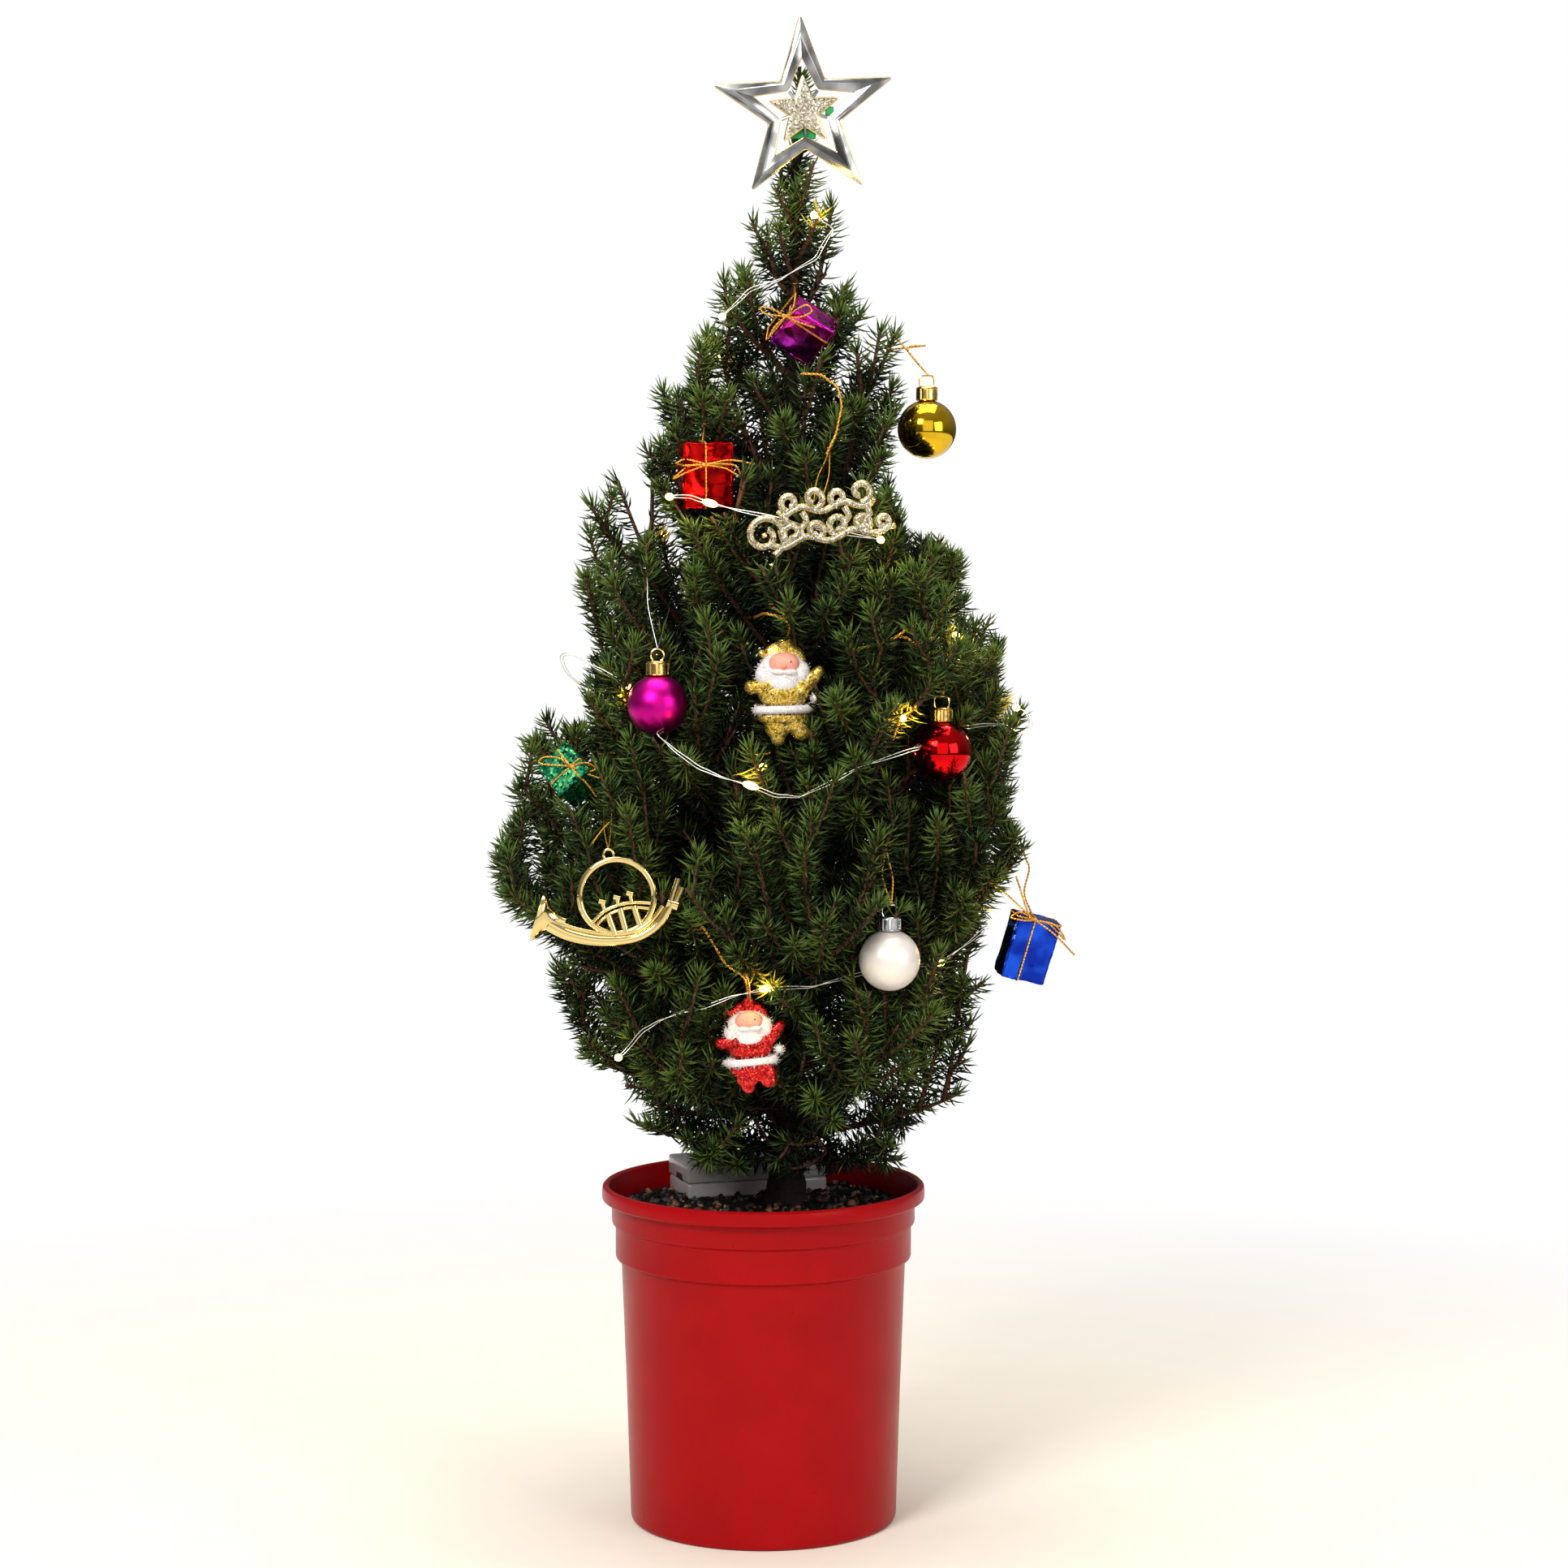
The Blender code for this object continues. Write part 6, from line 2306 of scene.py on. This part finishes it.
def curl(middle, begin, end, start, turns, count=26):
    """A scroll that winds in from its first radius to its last, in pixels about the sign's middle."""
    made = []
    for step in range(count + 1):
        share = step / count
        reach = begin + (end - begin) * share
        angle = start + math.tau * turns * share
        made.append((middle[0] + reach * math.cos(angle), middle[1] + reach * math.sin(angle)))
    return made


def sign_strokes():
    """The scrollwork's strokes in pixels about its middle: two waves with curls, ties and tails."""
    low = [(x, 31 - 0.16 * (x + 60) + 4.5 * math.sin(x / 9)) for x in range(-60, 95, 5)]
    high = [(x, -12 - 0.13 * (x + 30) + 4.0 * math.sin(x / 8 + 1)) for x in range(-48, 68, 5)]
    strokes = [low, high, curl((-66, 18), 27, 8, 1.1, -1.35, 44)]
    for x, size in ((-32, 12), (-3, 11), (25, 13), (54, 11), (80, 8)):
        foot = 31 - 0.16 * (x + 60)
        strokes.append(curl((x, foot - size), size, 5, math.pi / 2, 1.1 if size > 11 else -1.1))
    for x, size in ((-36, 11), (-6, 13), (24, 10), (52, 14)):
        foot = -12 - 0.13 * (x + 30)
        strokes.append(curl((x, foot - size), size, 5, math.pi / 2, -1.0 if size > 11 else 1.0))
    for x in (-44, -20, 32, 58):
        strokes.append([(x, -10 - 0.13 * (x + 30)), (x + 6, 2 - 0.13 * (x + 30)),
                        (x - 2, 12 - 0.13 * (x + 30)), (x + 4, 31 - 0.16 * (x + 64))])
    return strokes


class SPRUCE_OT_sign(bpy.types.Operator):
    """Hang the glittering scrollwork"""

    bl_idname = "spruce.sign"
    bl_label = "Scrollwork"

    def execute(self, context):
        depth = sign_depth()
        unit = pixels(1, depth)
        # Both glitters paint shade on darker flakes and glints in their palest colour.
        gold = glitter("Gold rim", (0.30, 0.19, 0.05), (0.62, 0.46, 0.17), (1.0, 0.86, 0.50), 0.0007)
        clear = glitter(
            "Silver glitter", (0.20, 0.18, 0.12), (0.50, 0.46, 0.34), (1.0, 0.96, 0.82), 0.0007
        )
        paths = [
            drawn([(SIGN_AT[0] + x, SIGN_AT[1] + y) for x, y in stroke], depth, 2)
            for stroke in sign_strokes()
        ]
        rims = flat_strokes("rims", paths, 4.1 * unit, 0.0010)
        settled(rims, "sign_rims", gold, smooth=50)
        ahead = [[point + FRONT * 0.0004 for point in path] for path in paths]
        settled(flat_strokes("fills", ahead, 2.7 * unit, 0.0013), "sign_fills", clear, smooth=0)
        beads = []
        for x, y in ((-66, 18), (93, 6), (68, -26), (-48, -10)):
            spot = seen_at(SIGN_AT[0] + x, SIGN_AT[1] + y, depth)
            beads.append(ball(3.6 * unit, spot, 14, (1, 0.8, 1)))
        settled(joined(beads), "sign_beads", gold)
        left = cord_to(seen_at(1003, 617, depth), ((1007, 590), (1017, 560)))
        right = cord_to(seen_at(1014, 612, depth), ((1021, 588), (1029, 560)))
        twisted("sign_cord", [left, right], 0.00045, gold_cord())
        return {"FINISHED"}


class SPRUCE_OT_scraps(bpy.types.Operator):
    """Lay the loose ends of gold cord over the twigs"""

    bl_idname = "spruce.scraps"
    bl_label = "Loose Cords"

    def execute(self, context):
        paths = [through(front_wire(spots, 0.008), 2) for spots in GOLD_SCRAPS]
        twisted("loose_cords", paths, 0.00085, gold_cord())
        return {"FINISHED"}


BOX_PLACE = Matrix.Translation((-0.010, 0.0476, 0.1960)) @ Matrix.Rotation(math.radians(18.6), 4, "Z")
BOX_SIZE = Vector((0.0930, 0.0420, 0.0225))


class SPRUCE_OT_battery(bpy.types.Operator):
    """Set the clear battery box of the lights on the soil"""

    bl_idname = "spruce.battery"
    bl_label = "Battery Box"

    def execute(self, context):
        clear = mottled(
            "Frosted case", (0.30, 0.27, 0.26), (0.37, 0.34, 0.32), 0.14, 40, 0.0, Alpha=0.80,
        )
        wide, deep, tall = BOX_SIZE
        pieces = []
        for low, share, shy in ((0.0, 0.44, 0.0006), (0.44, 0.56, 0.0)):
            middle = (0, 0, tall * (low + share / 2))
            shell = block((wide - 2 * shy, deep - 2 * shy, share * tall), middle, 0.0018)
            inner = -1 if low else 1
            picked(shell, "polygons", lambda face: face.normal.z * inner > 0.9)
            bpy.ops.mesh.delete(type="FACE")
            bpy.ops.object.mode_set(mode="OBJECT")
            modified(shell, "SOLIDIFY", thickness=0.0012, offset=-1)
            pieces.append(outwards(shell))
        for at in (-0.020, 0.030):
            pieces.append(block((0.0012, deep - 0.004, tall * 0.8), (at, 0, tall * 0.48), 0.0003))
        case = joined(pieces)
        cells = []
        for row in (-0.0088, 0.0088):
            cell = turned(
                [(0.0, 0.0), (0.0066, 0.0), (0.0071, 0.0006), (0.0071, 0.0464), (0.0066, 0.0470),
                 (0.0028, 0.0471), (0.0027, 0.0484), (0.0, 0.0485)],
                32, axis=(1, 0, 0), place=(-0.0185, row, 0.0095),
            )
            cells.append(cell)
        cells = joined(cells)
        switch = joined([
            block((0.0030, 0.0120, 0.0040), (-wide / 2 + 0.0010, -0.004, 0.0125), 0.0005),
            block((0.0200, 0.0300, 0.0010), (-0.032, 0.0, 0.0070), 0.0003),
        ])
        wrap = mottled("Battery wrap", (0.035, 0.006, 0.008), (0.11, 0.018, 0.022), 0.4, 90)
        black = mottled("Black plastic", (0.006, 0.006, 0.008), (0.02, 0.02, 0.024), 0.4, 300)
        for piece, name, finish in (
            (case, "battery_case", clear.material), (cells, "battery_cells", wrap.material),
            (switch, "battery_switch", black.material),
        ):
            piece.matrix_world = BOX_PLACE @ piece.matrix_world
            settled(piece, name, finish, smooth=30)
        return {"FINISHED"}


class SPRUCE_OT_stage(bpy.types.Operator):
    """Set the pale floor, the soft lights and the camera"""

    bl_idname = "spruce.stage"
    bl_label = "Stage"

    def execute(self, context):
        deselect()
        bpy.ops.mesh.primitive_circle_add(vertices=96, radius=3.2, fill_type="NGON")
        floor = bpy.context.object
        floor.name = "floor"
        pale = Recipe("Pale floor", (0.80, 0.73, 0.62), 0.75, Specular_IOR_Level=0.2)
        grain = pale.noise(30, 3)
        pale.paint(pale.blend(grain, (0.78, 0.71, 0.60), (0.82, 0.75, 0.64)))
        parts = pale.node("ShaderNodeVectorMath", {"operation": "LENGTH"}, {0: pale.spot()})
        far = pale.between(Level(pale, parts.outputs["Value"]), 0.40, 1.10)
        white = pale.node("ShaderNodeEmission", None, {"Color": (1, 1, 1), "Strength": 1.0})
        mix = pale.node("ShaderNodeMixShader", None, {"Fac": far})
        links = pale.tree.links
        links.new(pale.surface.outputs["BSDF"], mix.inputs[1])
        links.new(white.outputs["Emission"], mix.inputs[2])
        links.new(mix.outputs["Shader"], pale.tree.nodes["Material Output"].inputs["Surface"])
        floor.data.materials.append(pale.material)
        world = bpy.data.worlds.new("Studio")
        context.scene.world = world
        world.use_nodes = True
        nodes, links = world.node_tree.nodes, world.node_tree.links
        around = nodes["Background"]
        around.inputs["Strength"].default_value = 1.0
        place = nodes.new("ShaderNodeTexCoord")
        split = nodes.new("ShaderNodeSeparateXYZ")
        rise = nodes.new("ShaderNodeMapRange")
        rise.inputs["From Min"].default_value = -0.1
        rise.inputs["From Max"].default_value = 0.9
        rise.inputs["To Min"].default_value = 0.09
        rise.inputs["To Max"].default_value = 0.42
        links.new(place.outputs["Generated"], split.inputs["Vector"])
        links.new(split.outputs["Z"], rise.inputs["Value"])
        links.new(rise.outputs["Result"], around.inputs["Color"])
        behind = nodes.new("ShaderNodeBackground")
        behind.inputs["Color"].default_value = (1, 1, 1, 1)
        chosen = nodes.new("ShaderNodeMixShader")
        path = nodes.new("ShaderNodeLightPath")
        links.new(path.outputs["Is Camera Ray"], chosen.inputs["Fac"])
        links.new(around.outputs["Background"], chosen.inputs[1])
        links.new(behind.outputs["Background"], chosen.inputs[2])
        links.new(chosen.outputs["Shader"], nodes["World Output"].inputs["Surface"])
        for name, spot, size, power in (
            ("key", (-1.3, -2.4, 2.2), 1.0, 84),
            ("fill", (1.9, -1.8, 1.1), 1.4, 28),
            ("front", (0.2, -3.7, 1.5), 2.8, 24),
            ("overhead", (0.0, 0.2, 2.9), 2.2, 70),
        ):
            light = bpy.data.lights.new(name, "AREA")
            light.size = size
            light.energy = power
            made = bpy.data.objects.new(name, light)
            made.location = spot
            aim = Vector((0.01, 0, 0.45)) - Vector(spot)
            made.rotation_euler = aim.to_track_quat("-Z", "Y").to_euler()
            context.scene.collection.objects.link(made)
        camera = bpy.data.cameras.new("camera")
        camera.lens = LENS
        camera.sensor_width = SENSOR
        camera.clip_end = 60
        made = bpy.data.objects.new("camera", camera)
        made.location = CAMERA_PLACE
        made.rotation_euler = (math.pi / 2 - CAMERA_TILT, 0, 0)
        context.scene.collection.objects.link(made)
        context.scene.camera = made
        context.scene.view_settings.view_transform = "Standard"
        return {"FINISHED"}


class SPRUCE_PT_panel(bpy.types.Panel):
    """Lists the pieces of the potted spruce"""

    bl_label = "Potted Spruce"
    bl_idname = "SPRUCE_PT_panel"
    bl_space_type = "VIEW_3D"
    bl_region_type = "UI"
    bl_category = "Spruce"

    def draw(self, context):
        sizes = context.scene.spruce_sizes
        for name in sizes.bl_rna.properties.keys():
            if name not in ("rna_type", "name"):
                self.layout.prop(sizes, name)
        for kind in PIECE_OPERATORS:
            self.layout.operator(kind.bl_idname)


PIECE_OPERATORS = (
    SPRUCE_OT_needles,
    SPRUCE_OT_wood,
    SPRUCE_OT_pot,
    SPRUCE_OT_soil,
    SPRUCE_OT_star,
    SPRUCE_OT_baubles,
    SPRUCE_OT_gifts,
    SPRUCE_OT_gnomes,
    SPRUCE_OT_horn,
    SPRUCE_OT_sign,
    SPRUCE_OT_scraps,
    SPRUCE_OT_battery,
    SPRUCE_OT_lights,
    SPRUCE_OT_stage,
)
CLASSES = (SpruceSizes, *PIECE_OPERATORS, SPRUCE_PT_panel)


def register():
    for kind in CLASSES:
        bpy.utils.register_class(kind)
    bpy.types.Scene.spruce_sizes = PointerProperty(type=SpruceSizes)


def unregister():
    del bpy.types.Scene.spruce_sizes
    for kind in reversed(CLASSES):
        bpy.utils.unregister_class(kind)


def main():
    register()
    bpy.ops.spruce.needles()
    bpy.ops.spruce.wood()
    bpy.ops.spruce.pot()
    bpy.ops.spruce.soil()
    bpy.ops.spruce.star()
    bpy.ops.spruce.baubles()
    bpy.ops.spruce.gifts()
    bpy.ops.spruce.gnomes()
    bpy.ops.spruce.horn()
    bpy.ops.spruce.sign()
    bpy.ops.spruce.scraps()
    bpy.ops.spruce.battery()
    bpy.ops.spruce.lights()
    bpy.ops.spruce.stage()
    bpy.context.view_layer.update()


if __name__ == "__main__":
    main()
